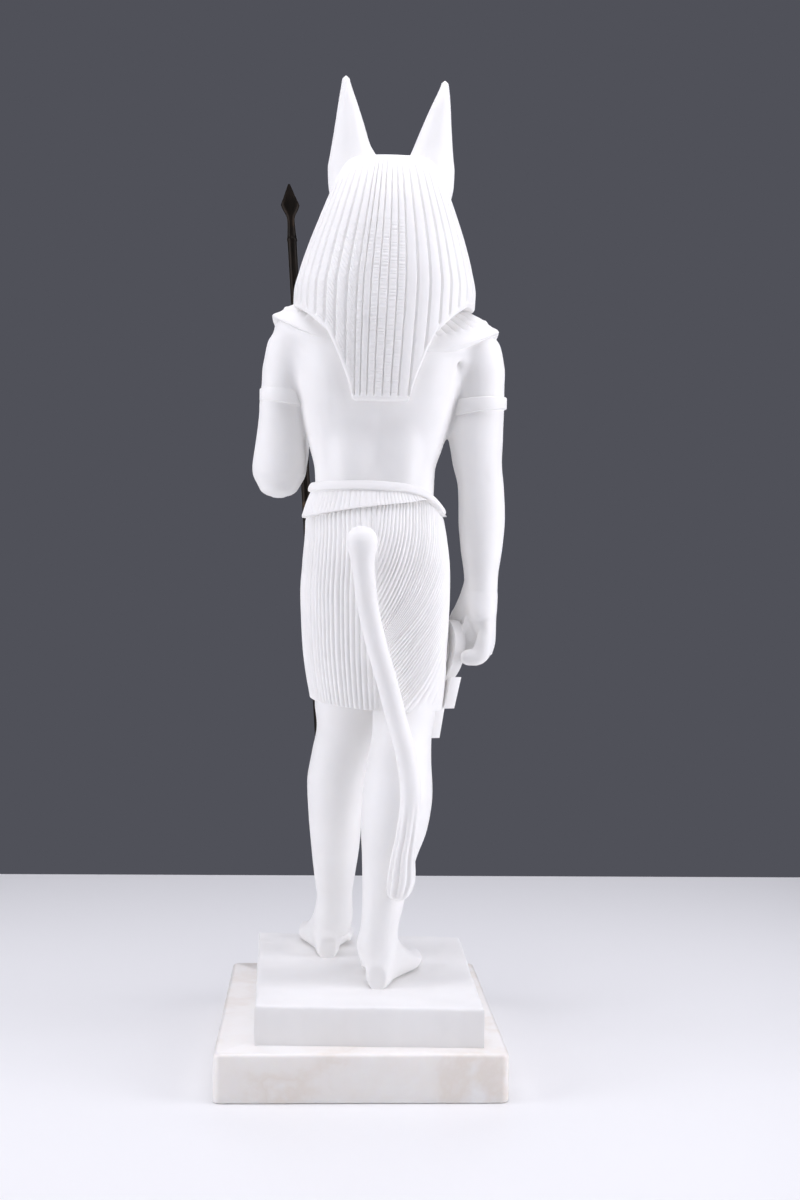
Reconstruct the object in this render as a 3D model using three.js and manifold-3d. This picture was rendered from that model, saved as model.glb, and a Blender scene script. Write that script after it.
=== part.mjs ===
// A striding jackal-headed god in white alabaster, cast with its plinth, on a polished slab.
// Its left hand holds a metal spear, and its right hand holds an ankh.
// Millimetres, +Z up. The figure faces -Y and its left side is +X.
// The origin is the middle of the slab's underside.
import * as THREE from "three";
import Module from "manifold-3d";

const wasm = await Module();
wasm.setup();

// Driving dimensions
const SLAB = { width: 104, depth: 140, height: 17.5, corner: 3, bevel: 1.6 };
const PLINTH_HEIGHT = 14;
const FLOOR = SLAB.height + PLINTH_HEIGHT;
const CROWN = 346;
const EAR_TIP = 378.6;
const FACE_X = -9.2;
const FOOT_LENGTH = 42;
const TOE_SUNK = 0.8;
const GRIP_HEIGHT = 252;
const ROD_RADIUS = 2;
const ROD_CLEARANCE = 0.35;
const SPEAR_HEAD = { length: 15.5, halfWidth: 3.9, halfThickness: 1.3 };
const PLEATS = 28;
const PLEAT_DEPTH = 0.75;
const WIG_STRIPES = 21;
const WIG_GROOVE = 0.8;
const WIG_POWER = 2.1;
const COLLAR_LEAVES = 22;

// The spear's straight axis, from its foot on the plinth to its point.
const SPEAR_FOOT = new THREE.Vector3(10.2, -59.6, FLOOR);
const SPEAR_POINT = new THREE.Vector3(31.6, -47.5, 348.6);

// Directions
const LEFT = new THREE.Vector3(1, 0, 0);
const BACK = new THREE.Vector3(0, 1, 0);
const UP = new THREE.Vector3(0, 0, 1);
const FULL_TURN = Math.PI * 2;

const alabaster = { color: 0xf4f3f1, roughness: 0.55, metalness: 0 };
const slabStone = { color: 0xe9e5dc, roughness: 0.3, metalness: 0 };
const bronze = { color: 0x17130f, roughness: 0.35, metalness: 0.8 };

// A value read off a table of [position, value] rows by straight lines.
function readOff(table, position) {
  const rising = table[0][0] < table[table.length - 1][0];
  const rows = rising ? table : [...table].reverse();
  const last = rows.length - 1;
  if (position <= rows[0][0]) return rows[0][1];
  if (position >= rows[last][0]) return rows[last][1];
  const i = rows.findIndex((row) => row[0] > position) - 1;
  const share = (position - rows[i][0]) / (rows[i + 1][0] - rows[i][0]);
  return THREE.MathUtils.lerp(rows[i][1], rows[i + 1][1], share);
}

// A closed solid through equal rings of points, each end closed by a fan to a point.
function ringSolid(rings, start = middle(rings[0]), end = middle(rings[rings.length - 1])) {
  const count = rings[0].length;
  const points = [...rings.flat(), start, end];
  const first = rings.length * count;
  const faces = [];
  for (let i = 0; i < count; i++) {
    const next = (i + 1) % count;
    for (let r = 0; r < rings.length - 1; r++) {
      const [a, b] = [r * count + i, r * count + next];
      faces.push(a, b, b + count, a, b + count, a + count);
    }
    const top = (rings.length - 1) * count;
    faces.push(next, i, first, top + i, top + next, first + 1);
  }
  return solidFrom(points, faces);
}

function middle(ring) {
  const sum = new THREE.Vector3();
  ring.forEach((point) => sum.add(point));
  return sum.divideScalar(ring.length);
}

// Points and faces as a solid with its faces outwards, whichever way round they were listed.
function solidFrom(points, faces) {
  let volume = 0;
  for (let i = 0; i < faces.length; i += 3) {
    const [a, b, c] = [points[faces[i]], points[faces[i + 1]], points[faces[i + 2]]];
    volume += a.dot(new THREE.Vector3().crossVectors(b, c));
  }
  const triVerts = Uint32Array.from(volume < 0 ? faces.reverse() : faces);
  const vertProperties = Float32Array.from(points.flatMap((p) => [p.x, p.y, p.z]));
  return new wasm.Manifold(new wasm.Mesh({ numProp: 3, vertProperties, triVerts }));
}

// A ring round a centre: half sizes along two directions, squarer than an ellipse where power is over 2.
function ring(sides, centre, across, along, halfAcross, halfAlong, power = 2) {
  return Array.from({ length: sides }, (_, i) => {
    const angle = (i / sides) * FULL_TURN;
    const [c, s] = [Math.cos(angle), Math.sin(angle)];
    const squared = (v) => Math.sign(v) * Math.abs(v) ** (2 / power);
    return centre
      .clone()
      .addScaledVector(across, squared(c) * halfAcross)
      .addScaledVector(along, squared(s) * halfAlong);
  });
}

// Adds a rounded end to rows of [position, ., ., half width, half depth], past the first or last row.
function domed(rows, height, atStart) {
  const row = atStart ? rows[0] : rows[rows.length - 1];
  const way = Math.sign(atStart ? rows[0][0] - rows[1][0] : row[0] - rows[rows.length - 2][0]);
  const shrunk = (share, size) => [
    row[0] + way * height * share,
    row[1],
    row[2],
    row[3] * size,
    row[4] * size,
  ];
  const cap = [shrunk(0.55, 0.84), shrunk(0.95, 0.3)];
  return atStart ? [...cap.reverse(), ...rows] : [...rows, ...cap];
}

// An upright form from rows of [z, x, y, half width, half depth].
function upright(rows, sides, power) {
  return ringSolid(
    rows.map(([z, x, y, a, b]) => ring(sides, new THREE.Vector3(x, y, z), LEFT, BACK, a, b, power)),
  );
}

// A form that runs front to back from rows of [y, x, z, half width, half height].
function level(rows, sides, power) {
  return ringSolid(
    rows.map(([y, x, z, a, b]) => ring(sides, new THREE.Vector3(x, y, z), LEFT, UP, a, b, power)),
  );
}

// A round form of changing radius along a smooth path, with rounded ends.
function pipe(path, radii, sides, steps) {
  const curve = new THREE.CatmullRomCurve3(path.map((p) => new THREE.Vector3(...p)));
  const frames = curve.computeFrenetFrames(steps, false);
  const table = radii.map((r, i) => [i / (radii.length - 1), r]);
  const rings = [];
  for (let i = 0; i <= steps; i++) {
    const radius = readOff(table, i / steps) * (i === 0 || i === steps ? 0.72 : 1);
    rings.push(
      ring(sides, curve.getPointAt(i / steps), frames.normals[i], frames.binormals[i], radius, radius),
    );
  }
  const tip = (i, length) => curve.getPointAt(i / steps).addScaledVector(frames.tangents[i], length);
  return ringSolid(rings, tip(0, -radii[0] / 2), tip(steps, radii[radii.length - 1] / 2));
}

// An egg-like lump.
function lump(x, y, z, halfX, halfY, halfZ, sides = 8) {
  const rows = [-0.8, -0.3, 0.3, 0.8].map((level) => {
    const size = Math.sqrt(1 - level * level);
    return [z + level * halfZ, x, y, halfX * size, halfY * size];
  });
  const rings = rows.map(([h, cx, cy, a, b]) => ring(sides, new THREE.Vector3(cx, cy, h), LEFT, BACK, a, b));
  return ringSolid(rings, new THREE.Vector3(x, y, z - halfZ), new THREE.Vector3(x, y, z + halfZ));
}

function joined(solids) {
  return solids.reduce((all, solid) => all.add(solid));
}

// Body

function torso() {
  const rows = [
    [215, -3.7, 15.4, 22.4, 14.4],
    [225, -3.7, 14.8, 22.9, 14.4],
    [233, -4, 14.6, 25.1, 15.2],
    [242, -4.2, 14.8, 27.5, 16.6],
    [250, -4.4, 15.4, 29.4, 18.2],
    [260, -4.6, 15.6, 32.4, 18.8],
    [268, -5.6, 15.4, 35.6, 17.8],
    [275, -6.6, 15.2, 34.6, 15.4],
    [281, -7.2, 14.6, 24, 12.6],
    [288, -7.8, 13.5, 13.2, 11],
    [306, -9, 10.4, 11.2, 11],
  ];
  return upright(rows, 16, 2.3);
}

function leftLeg() {
  const rows = [
    [150, 4.6, 5, 12, 12.6],
    [136, 5.5, 1.6, 12.6, 12.4],
    [126, 5.6, -1.2, 11.6, 11.5],
    [117, 7, -3.4, 11.7, 11.8],
    [103, 9.3, -6.2, 11.4, 12.4],
    [90, 9.4, -9.8, 10.6, 11.2],
    [76, 9.2, -14.6, 9.5, 9.2],
    [64, 9.3, -19, 8.1, 7.6],
    [56, 9.2, -21.8, 7.2, 6.6],
    [47, 9.6, -23, 7.9, 7.2],
    [40, 10.2, -23.6, 7, 8],
  ];
  return upright(rows, 12);
}

function rightLeg() {
  const rows = [
    [150, -14.9, 17, 11.6, 12],
    [134, -15.8, 19, 11.9, 11.4],
    [125, -15, 21.2, 11.3, 11.2],
    [116, -14.1, 22.6, 12, 11.9],
    [101, -13.4, 23.8, 13.2, 12.6],
    [90, -12.5, 24, 12.6, 12],
    [79, -10.9, 24.2, 10.4, 10.1],
    [70, -10, 24.6, 8.8, 8.8],
    [60, -9.9, 25, 6.3, 7.4],
    [52, -9.6, 25.2, 5.8, 7.4],
    [47, -9.4, 25, 6.8, 7.8],
    [40, -8.8, 24.4, 5.6, 8.4],
  ];
  return upright(rows, 12);
}

// A foot on its floor: the heel's back, the way the toes point, and the side where the big toe is.
function foot(heel, splay, bigToeSide) {
  const forward = new THREE.Vector3(Math.sin(splay), -Math.cos(splay), 0);
  const aside = new THREE.Vector3(-forward.y, forward.x, 0).multiplyScalar(-bigToeSide);
  const place = (along, side, height) =>
    new THREE.Vector3(heel[0], heel[1], FLOOR + height)
      .addScaledVector(forward, along * FOOT_LENGTH)
      .addScaledVector(aside, side);
  const rows = [
    [0.03, 3.2, 9],
    [0.1, 5, 14],
    [0.22, 5.6, 19],
    [0.36, 6.1, 18.5],
    [0.5, 7.2, 13.5],
    [0.64, 8.6, 9.8],
    [0.78, 9.2, 7],
    [0.86, 8.6, 5.2],
  ];
  const rings = rows.map(([along, half, height]) =>
    ring(10, place(along, 0.6, (height - TOE_SUNK) / 2), aside, UP, half, (height + TOE_SUNK) / 2, 2.5),
  );
  const toeReach = [1, 0.985, 0.95, 0.9, 0.84];
  const toeSide = [6.2, 2.4, -0.9, -4, -6.8];
  const toeSize = [2.7, 2, 1.9, 1.8, 1.7];
  const toes = toeReach.map((reach, i) => {
    const size = toeSize[i];
    const path = [place(reach - 0.26, toeSide[i], size + 1.2), place(reach - 0.03, toeSide[i], size - 0.2)];
    return pipe(
      path.map((p) => p.toArray()),
      [size, size * 1.05, size * 0.9],
      5,
      2,
    );
  });
  return joined([ringSolid(rings), ...toes]);
}

// Arms and hands

function rightArm() {
  const rows = [
    [278, -39, 14.4, 9, 8.4],
    [273, -41.2, 14.4, 9.9, 9.6],
    [265, -42.6, 14.4, 10.2, 10.2],
    [258, -43.6, 14, 9.3, 9.8],
    [249, -43.5, 13.7, 9.4, 9.4],
    [239, -42.4, 13.5, 10.3, 9.7],
    [229, -42.9, 13.4, 9.5, 9.3],
    [208, -45, 13, 8.9, 8.9],
    [196, -45.1, 12.4, 8, 8.3],
    [185, -45.2, 11.6, 6.5, 7],
    [175, -45.4, 11, 6.1, 6.6],
    [160, -47.6, 10, 3.5, 8.8],
    [155, -46.6, 10, 3.2, 8.6],
  ];
  return upright(domed(rows, 4, true), 12);
}

// The right fist is closed round the ankh's loop, with its hollow running front to back.
function rightFist() {
  const fingers = [17, 12.4, 7.8, 3.4].map((y, i) => {
    const size = 3.1 - 0.1 * (i % 3);
    const path = [
      [-47.8, y, 158],
      [-46.6, y, 154.8],
      [-43.2, y, 153.4],
      [-40.8, y, 154.8],
      [-40.6, y, 158],
    ];
    return pipe(path, [size, size, size * 0.85], 6, 4);
  });
  const thumb = pipe(
    [
      [-41, 4, 170],
      [-38.6, -0.5, 165],
      [-39, -1.5, 158],
    ],
    [3.2, 2.7, 2.2],
    6,
    3,
  );
  const heel = lump(-39.6, 10, 170, 5.8, 7.6, 4.6);
  const wristSide = lump(-46, 10, 169, 5.4, 8.6, 6);
  const palm = [
    [-1.6, -43.4, 161.5, 3, 6],
    [1, -43.6, 161.5, 4.7, 8],
    [13.6, -43.6, 161.5, 4.7, 8],
  ];
  return joined([...fingers, thumb, heel, wristSide, level(palm, 8, 2.6)]);
}

function leftUpperArm() {
  const rows = [
    [278, 25.6, 14.4, 9.2, 8.4],
    [273, 27.6, 14.2, 10, 9.6],
    [265, 29.1, 13.8, 10.1, 10.2],
    [257, 31.2, 12.8, 8.6, 9.8],
    [248, 32.6, 11.6, 8, 9.4],
    [239, 32.5, 10, 8.9, 9.4],
    [230, 32.5, 8, 10, 10.2],
    [219.5, 33, 6.6, 7.6, 8],
  ];
  return upright(domed(domed(rows, 4, true), 5, false), 12);
}

function leftForearm() {
  const rows = [
    [9, 32.8, 225.8, 9, 9.4],
    [1, 32.5, 227.6, 10.1, 10.8],
    [-8, 31.4, 231.6, 9.5, 10.8],
    [-19, 29.4, 238.2, 7.8, 9],
    [-30, 27.6, 244.8, 6, 7.2],
    [-43, 27.8, 251, 5, 7.8],
    [-49, 29.4, 252, 3.9, 8.8],
    [-55, 29.8, 252, 3.6, 8.8],
  ];
  return level(domed(domed(rows, 6, true), 3, false), 12);
}

// The left fist stands upright, closed round the spear.
function leftFist() {
  const grip = spearAt(GRIP_HEIGHT);
  const fingers = [-6.4, -2.1, 2.2, 6.4].map((lift, i) => {
    const z = GRIP_HEIGHT + lift;
    const size = 2.15 + 0.08 * i;
    const path = [
      [grip.x + 4.6, grip.y - 3.6, z],
      [grip.x + 1.8, grip.y - 5.2, z],
      [grip.x - 3, grip.y - 4.2, z],
      [grip.x - 4.8, grip.y, z],
      [grip.x - 2.6, grip.y + 3.6, z],
    ];
    return pipe(path, [size, size, size * 0.85], 6, 4);
  });
  const thumb = pipe(
    [
      [grip.x + 1, grip.y + 7, GRIP_HEIGHT + 6],
      [grip.x - 4.6, grip.y + 3.6, GRIP_HEIGHT + 6.4],
      [grip.x - 6.4, grip.y - 2.4, GRIP_HEIGHT + 5],
    ],
    [3.2, 2.7, 2.1],
    6,
    3,
  );
  const palm = lump(grip.x - 0.4, grip.y + 6.4, GRIP_HEIGHT, 5, 4.6, 8);
  return joined([...fingers, thumb, palm]);
}

// The spear's axis at a height.
function spearAt(z) {
  const share = (z - SPEAR_FOOT.z) / (SPEAR_POINT.z - SPEAR_FOOT.z);
  return new THREE.Vector3().lerpVectors(SPEAR_FOOT, SPEAR_POINT, share);
}

// A band round an upper arm, higher on the outside, from rows of the arm's own sizes.
function armlet(x, y, z, halfWidth, halfDepth, outward) {
  const height = 4.6;
  const proud = 0.8;
  const tilt = 0.13 * outward;
  const profile = [
    [-0.5, 0],
    [-0.46, proud],
    [0.46, proud],
    [0.5, 0],
  ];
  const rings = profile.map(([share, out]) =>
    ring(12, new THREE.Vector3(x, y, z + share * height), LEFT, BACK, halfWidth + out, halfDepth + out).map(
      (p) => p.setZ(p.z + (p.x - x) * tilt),
    ),
  );
  return ringSolid(rings);
}

// Head

function muzzle() {
  const rows = [
    [10, FACE_X, 322, 14.8, 19],
    [0, FACE_X, 322, 14.8, 18.6],
    [-6, FACE_X, 320.6, 13.4, 16.6],
    [-11, FACE_X, 318.4, 11.2, 13.6],
    [-16, FACE_X, 316, 8.8, 10.6],
    [-22, FACE_X, 314.2, 7, 8.2],
    [-30, FACE_X, 313, 6, 6.6],
    [-37, FACE_X, 312.4, 5.2, 5.6],
  ];
  const nose = lump(FACE_X, -40.4, 315, 3.2, 2.4, 2.4, 6);
  const eye = (side) => lump(FACE_X + side * 10.6, -10, 323, 2.2, 4.2, 1.8, 6);
  return joined([level(domed(rows, 4, false), 12, 2.3), nose, eye(-1), eye(1)]);
}

// A tall ear, cupped to the front: rows of [z, inner edge, outer edge, depth of the cup].
function ear(side) {
  const leftRows = [
    [324, -3, 13.2, 5],
    [339, -4.8, 15.9, 4.8],
    [345, -3.6, 14.9, 4.4],
    [358, 1.6, 13, 3],
    [366, 4.3, 11.8, 2],
    [373, 7.4, 10.6, 1],
  ];
  const rightRows = [
    [324, -15, -30.4, 5],
    [339, -14, -33.1, 4.8],
    [345, -15.4, -32.6, 4.4],
    [358, -20.4, -31.6, 3],
    [366, -23.8, -31.1, 2],
    [373, -27.6, -30.4, 1],
  ];
  const rows = side > 0 ? leftRows : rightRows;
  const shares = [-1, -0.6, 0, 0.6, 1];
  const rings = rows.map(([z, inner, outer, cup]) => {
    const [x, half] = [(inner + outer) / 2, (outer - inner) / 2];
    const y = THREE.MathUtils.mapLinear(z, 324, EAR_TIP, 11, 8);
    const back = shares.map((s) => new THREE.Vector3(x + s * half, y + cup * (1 - s * s), z));
    const front = [0.62, 0, -0.62].map(
      (s) => new THREE.Vector3(x + s * half, y - 1.6 + cup * 0.45 * (1 - s * s), z),
    );
    return [...back, ...front];
  });
  const tip = new THREE.Vector3(side > 0 ? 9 : -29.6, 8, EAR_TIP);
  return ringSolid(rings, undefined, tip);
}

// Wig: its half width, its back and its front by height, and its lower edge by distance from the middle.
const WIG_MIDDLE = [
  [CROWN, -8.4],
  [320, -7.8],
  [292, -6.7],
  [250, -5],
];
const WIG_HALF = [
  [CROWN, 8],
  [343.5, 15],
  [338, 19.6],
  [329, 23.4],
  [319.5, 27],
  [310, 30.3],
  [301, 32.9],
  [292, 34.7],
  [284, 34.6],
  [270, 33.5],
  [249.3, 31],
];
const WIG_BACK = [
  [CROWN, 13],
  [343.5, 22],
  [338, 28],
  [328, 33.6],
  [318, 37.2],
  [308, 39.8],
  [298, 41.4],
  [286, 42],
  [270, 40.6],
  [249.3, 38.6],
];
const WIG_FRONT = [
  [CROWN, 5],
  [343.5, 1],
  [338, -1.5],
  [328, -2.5],
  [310, -4.5],
  [298, -8],
  [286, -10],
  [270, -9.4],
  [249.3, -8],
];
const WIG_SPLIT = 13;
const BACK_EDGE = [
  [10.8, 249.3],
  [11.8, 253.7],
  [13.4, 258.5],
  [17.1, 267.6],
  [20.6, 275],
  [27, 281],
  [33, 286],
];
const FRONT_EDGE = [
  [6.5, 296],
  [8.5, 285],
  [9, 256],
  [21, 254],
  [24, 278],
  [33, 286],
];

// Angles from the back's middle to a side whose steps are equal along a rounded oblong.
function evenAngles(count, power, depth, width) {
  const fine = 400;
  const along = [0];
  const place = (t) => {
    const angle = (t - 0.5) * Math.PI;
    const squared = (v) => Math.sign(v) * Math.abs(v) ** (2 / power);
    return [width * squared(Math.sin(angle)), depth * squared(Math.cos(angle))];
  };
  for (let i = 1; i <= fine; i++) {
    const [a, b] = [place((i - 1) / fine), place(i / fine)];
    along.push(along[i - 1] + Math.hypot(b[0] - a[0], b[1] - a[1]));
  }
  return Array.from({ length: count + 1 }, (_, k) => {
    const wanted = (k / count) * along[fine];
    const i = Math.max(1, along.findIndex((length) => length >= wanted - 1e-9));
    const share = (wanted - along[i - 1]) / (along[i] - along[i - 1]);
    return ((i - 1 + share) / fine - 0.5) * Math.PI;
  });
}

// A point of the wig at a height and an angle from the middle of its back or front.
function wigPoint(z, angle, isBack, sunk) {
  const squared = (v) => Math.sign(v) * Math.abs(v) ** (2 / WIG_POWER);
  const half = readOff(WIG_HALF, z) - sunk;
  const far = readOff(isBack ? WIG_BACK : WIG_FRONT, z) - WIG_SPLIT;
  const x = readOff(WIG_MIDDLE, z) + half * squared(Math.sin(angle));
  return new THREE.Vector3(x, WIG_SPLIT + (far - Math.sign(far) * sunk) * squared(Math.cos(angle)), z);
}

// One column of the wig, from the crown to its lower edge, and its inward end.
function wigColumn(angle, isBack, sunk, rows) {
  const edge = isBack ? BACK_EDGE : FRONT_EDGE;
  let low = 286;
  for (let k = 0; k < 6; k++) {
    const sideways = Math.abs(wigPoint(low, angle, isBack, 0).x - (isBack ? -4.9 : readOff(WIG_MIDDLE, low)));
    low = readOff(edge, sideways);
  }
  const column = Array.from({ length: rows + 1 }, (_, r) => {
    const z = THREE.MathUtils.lerp(CROWN, low, (r / rows) ** 0.85);
    return wigPoint(z, angle, isBack, z > CROWN - 1 ? 0 : sunk);
  });
  const end = column[rows].clone();
  end.x = THREE.MathUtils.lerp(end.x, -7, 0.16);
  end.y = THREE.MathUtils.lerp(end.y, WIG_SPLIT, 0.3);
  return [...column, end];
}

function wig() {
  const rows = 6;
  const backAngles = evenAngles(WIG_STRIPES * 2, WIG_POWER, 28, 34.7);
  const frontAngles = evenAngles(14, WIG_POWER, 24, 34.7);
  const groove = (i) => (i % 2 === 0 ? WIG_GROOVE : 0);
  const back = backAngles.map((angle, i) => wigColumn(angle, true, groove(i), rows));
  const front = frontAngles
    .map((angle) => wigColumn(angle, false, 0, rows))
    .reverse()
    .slice(1, -1);
  const columns = [...back, ...front];
  const rings = Array.from({ length: rows + 2 }, (_, r) => columns.map((column) => column[r]));
  return ringSolid(rings, new THREE.Vector3(-8.4, 10, CROWN + 0.4), new THREE.Vector3(-7, WIG_SPLIT, 278));
}

// Collar: a sloping disc over the shoulders, scalloped into leaves at its rim.
function collar() {
  const columns = COLLAR_LEAVES * 2;
  const [x, y] = [-7.3, 12.4];
  const rimHeight = (angle) => {
    const back = Math.max(0, Math.sin(angle));
    const front = Math.max(0, -Math.sin(angle));
    return 281.6 + 2.2 * Math.cos(angle) - 13 * back ** 1.3 - 24 * front ** 1.3;
  };
  const rows = [
    [0.55, 0.28, 290.4, 0],
    [0.78, 0.62, 286.6, 0],
    [0.93, 0.9, 285, 0.5],
    [1, 1, 283.6, 0.9],
    [0.99, 1, 281, 0],
  ];
  const half = 43.4;
  const depths = { back: 22.4, front: 18.2 };
  const rings = rows.map(([share, lean, high, scallop]) =>
    Array.from({ length: columns }, (_, i) => {
      const angle = (i / columns) * FULL_TURN;
      const drop = lean * (rimHeight(angle) - 282);
      const cut = i % 2 === 0 ? scallop : 0;
      return new THREE.Vector3(
        x + (half * share - cut) * Math.cos(angle),
        y + ((Math.sin(angle) > 0 ? depths.back : depths.front) * share - cut) * Math.sin(angle),
        high + drop - cut * 0.8,
      );
    }),
  );
  return ringSolid(rings, new THREE.Vector3(x, y, 296), new THREE.Vector3(x, y, 266));
}

// Kilt: rows of [z, x, y, half width, depth to the back, depth to the front] from the belt to the hem.
const KILT = [
  [219, -3.6, 15.4, 23.6, 15.8, 16],
  [209, -3.7, 16, 26, 19.6, 18.4],
  [199, -4.4, 16.4, 27.1, 22.4, 20.6],
  [189, -4.6, 16.2, 28.1, 23.4, 22.6],
  [179, -4.4, 15.8, 28.5, 23.4, 24.4],
  [168, -4.5, 15, 28.2, 22.4, 26],
  [157, -4.6, 14, 27.6, 21.4, 27.4],
  [146, -5.1, 13, 26.8, 21, 28.4],
  [136.5, -5.6, 12.4, 25.6, 20.6, 28.8],
];
const HEM = KILT[KILT.length - 1][0];

// How far, in degrees, the wrapped half's pleats have swept towards the tail at a height.
const SWEEP = [
  [215, 0],
  [200, 6],
  [181, 20],
  [154, 52],
  [136, 78],
];

// The tail's angle round the kilt at a height.
const TAIL_ANGLE = [
  [200, 12],
  [176, 7],
  [160, 0],
  [136, -13],
];

// A pleat's angle at a height: upright on the left, swept on the right until it runs in behind the tail.
function pleatAngle(start, z) {
  if (start >= 0) return start;
  const hidden = 9;
  const tail = readOff(TAIL_ANGLE, z) - 4;
  const front = THREE.MathUtils.smoothstep(start, -180, -130);
  const swept = start + readOff(SWEEP, z) * front;
  const gap = tail - swept;
  const kept = gap > hidden ? gap : hidden / (2 - gap / hidden);
  return tail - kept;
}

// The kilt's row at a height.
function kiltRow(z) {
  return KILT[0].map((_, n) => readOff(KILT.map((row) => [row[0], row[n]]), z));
}

// A point round the hips at a height, out from the kilt's plain form.
function hipPoint(z, degrees, out) {
  const [, x, y, half, toBack, toFront] = kiltRow(z);
  const angle = THREE.MathUtils.degToRad(degrees);
  const isBack = Math.cos(angle) > 0;
  const depth = isBack ? toBack : toFront;
  const bulge = isBack ? 0 : 0.07 * Math.sin(2 * angle) ** 2;
  const across = (half + out) * (1 + bulge) * Math.sin(angle);
  return new THREE.Vector3(x + across, y + (depth + out) * (1 + bulge) * Math.cos(angle), z);
}

// The belt's line and the lower line of the fold that hangs from it, by sideways place.
const BELT_LINE = [
  [-30, 213.4],
  [-22, 217.6],
  [-12, 218.9],
  [24, 219],
];
const FOLD_LINE = [
  [-29, 212],
  [-14, 211.6],
  [0, 210.8],
  [14, 208.8],
  [24, 206],
];

// The belt and fold: rows of [share of the way from belt line to fold line, height offset, distance out, ripple].
const BELT_ROWS = [
  [0, 2, -4, 0],
  [0, 1.6, 0.6, 0],
  [0, 0, 1.4, 0],
  [0.1, -1, 0.4, 0],
  [0.5, 0, 0.9, 0.35],
  [1, 0.3, 1.2, 0.45],
];
const KILT_ROWS = 6;

// The kilt hangs in pleats from under the fold, down to a hem that is lower on the right and at the back.
function kilt() {
  const starts = Array.from({ length: PLEATS * 2 }, (_, i) => (i / PLEATS - 1) * 180);
  const sideways = (degrees) => -3.7 + 25 * Math.sin(THREE.MathUtils.degToRad(degrees));
  const foldHeight = (degrees) => readOff(FOLD_LINE, sideways(degrees));
  const beltRings = BELT_ROWS.map(([share, lift, out, ripple]) =>
    starts.map((start, i) => {
      const line = readOff(BELT_LINE, sideways(start));
      const z = THREE.MathUtils.lerp(line, foldHeight(start), share) + lift;
      return hipPoint(z, start, out - (i % 2 === 0 ? ripple : 0));
    }),
  );
  const pleatRings = Array.from({ length: KILT_ROWS + 1 }, (_, r) =>
    starts.map((start, i) => {
      const top = foldHeight(start) - 0.6;
      const z = THREE.MathUtils.lerp(top, HEM, r / KILT_ROWS);
      const angle = pleatAngle(start, z);
      const spacing = pleatAngle(start + 2, z) - angle;
      const depth = PLEAT_DEPTH * THREE.MathUtils.clamp(spacing / 2, 0.05, 1);
      const point = hipPoint(z, angle, i % 2 === 0 ? -depth : 0);
      const slant = THREE.MathUtils.smoothstep(HEM + 26 - z, 0, 26);
      const sag = 0.075 * (point.x + 5) - 1.6 * Math.max(0, Math.cos(THREE.MathUtils.degToRad(angle)));
      return point.setZ(z + slant * sag);
    }),
  );
  const hem = pleatRings[KILT_ROWS];
  const inside = new THREE.Vector3(-5.6, 12, HEM);
  const underside = hem.map((p) => new THREE.Vector3().lerpVectors(p, inside, 0.14).setZ(p.z));
  return ringSolid([...beltRings, ...pleatRings, underside], undefined, inside.clone().setZ(HEM + 8));
}

// The apron that hangs at the front of the kilt, widening to its hem.
function apron() {
  const shares = [-1, -0.5, 0, 0.5, 1];
  const rows = [
    [217, 4.5],
    [199, 6.2],
    [179, 7.6],
    [157, 9],
    [141, 10],
  ];
  const rings = rows.map(([z, half]) => {
    const [, cx, cy, a, , b] = kiltRow(z);
    const at = (share, out) => {
      const x = share * half;
      const y = cy - (b + out) * Math.sqrt(1 - (x / (a + out)) ** 2);
      return new THREE.Vector3(cx + x, y, z);
    };
    const front = shares.map((share, i) => at(share, i % 2 === 0 ? 1.3 : 1.9));
    return [...front, at(1, -2), at(-1, -2)];
  });
  return ringSolid(rings);
}

// Tail: rows of [z, x, y, half width, half depth], grooved lengthwise in its tuft.
function tail() {
  const rows = [
    [203.2, 1.7, 40.4, 2.4, 2],
    [200, 1.6, 41.4, 5, 4.4],
    [195.8, 1.6, 41.8, 5.9, 5],
    [186, 0.8, 41.2, 4.4, 4],
    [174, -0.9, 40.2, 4, 3.8],
    [161, -3.9, 38.4, 4, 3.7],
    [147, -8.1, 36.2, 4, 3.6],
    [132, -12.1, 35, 4, 3.5],
    [117, -16.2, 35.6, 3.9, 3.5],
    [103, -17.8, 36.4, 3.9, 3.6],
    [90, -16.6, 36.2, 4.1, 3.7],
    [80, -15.1, 35.8, 4.6, 3.9],
    [72.5, -14.6, 35.4, 5.2, 4.1],
    [68, -13.9, 35.2, 4.5, 3.6],
    [65, -13.6, 34.8, 2, 1.8],
  ];
  const tuft = 104;
  const groove = 0.5;
  const rings = rows.map(([z, x, y, a, b]) =>
    ring(10, new THREE.Vector3(x, y, z), LEFT, BACK, a, b).map((p, i) => {
      const inward = z < tuft && i % 2 === 0 ? groove / a : 0;
      return p.set(x + (p.x - x) * (1 - inward), y + (p.y - y) * (1 - inward), z);
    }),
  );
  return ringSolid(rings, new THREE.Vector3(1.7, 40, 204.2), new THREE.Vector3(-13.5, 34.6, 64.2));
}

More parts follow.
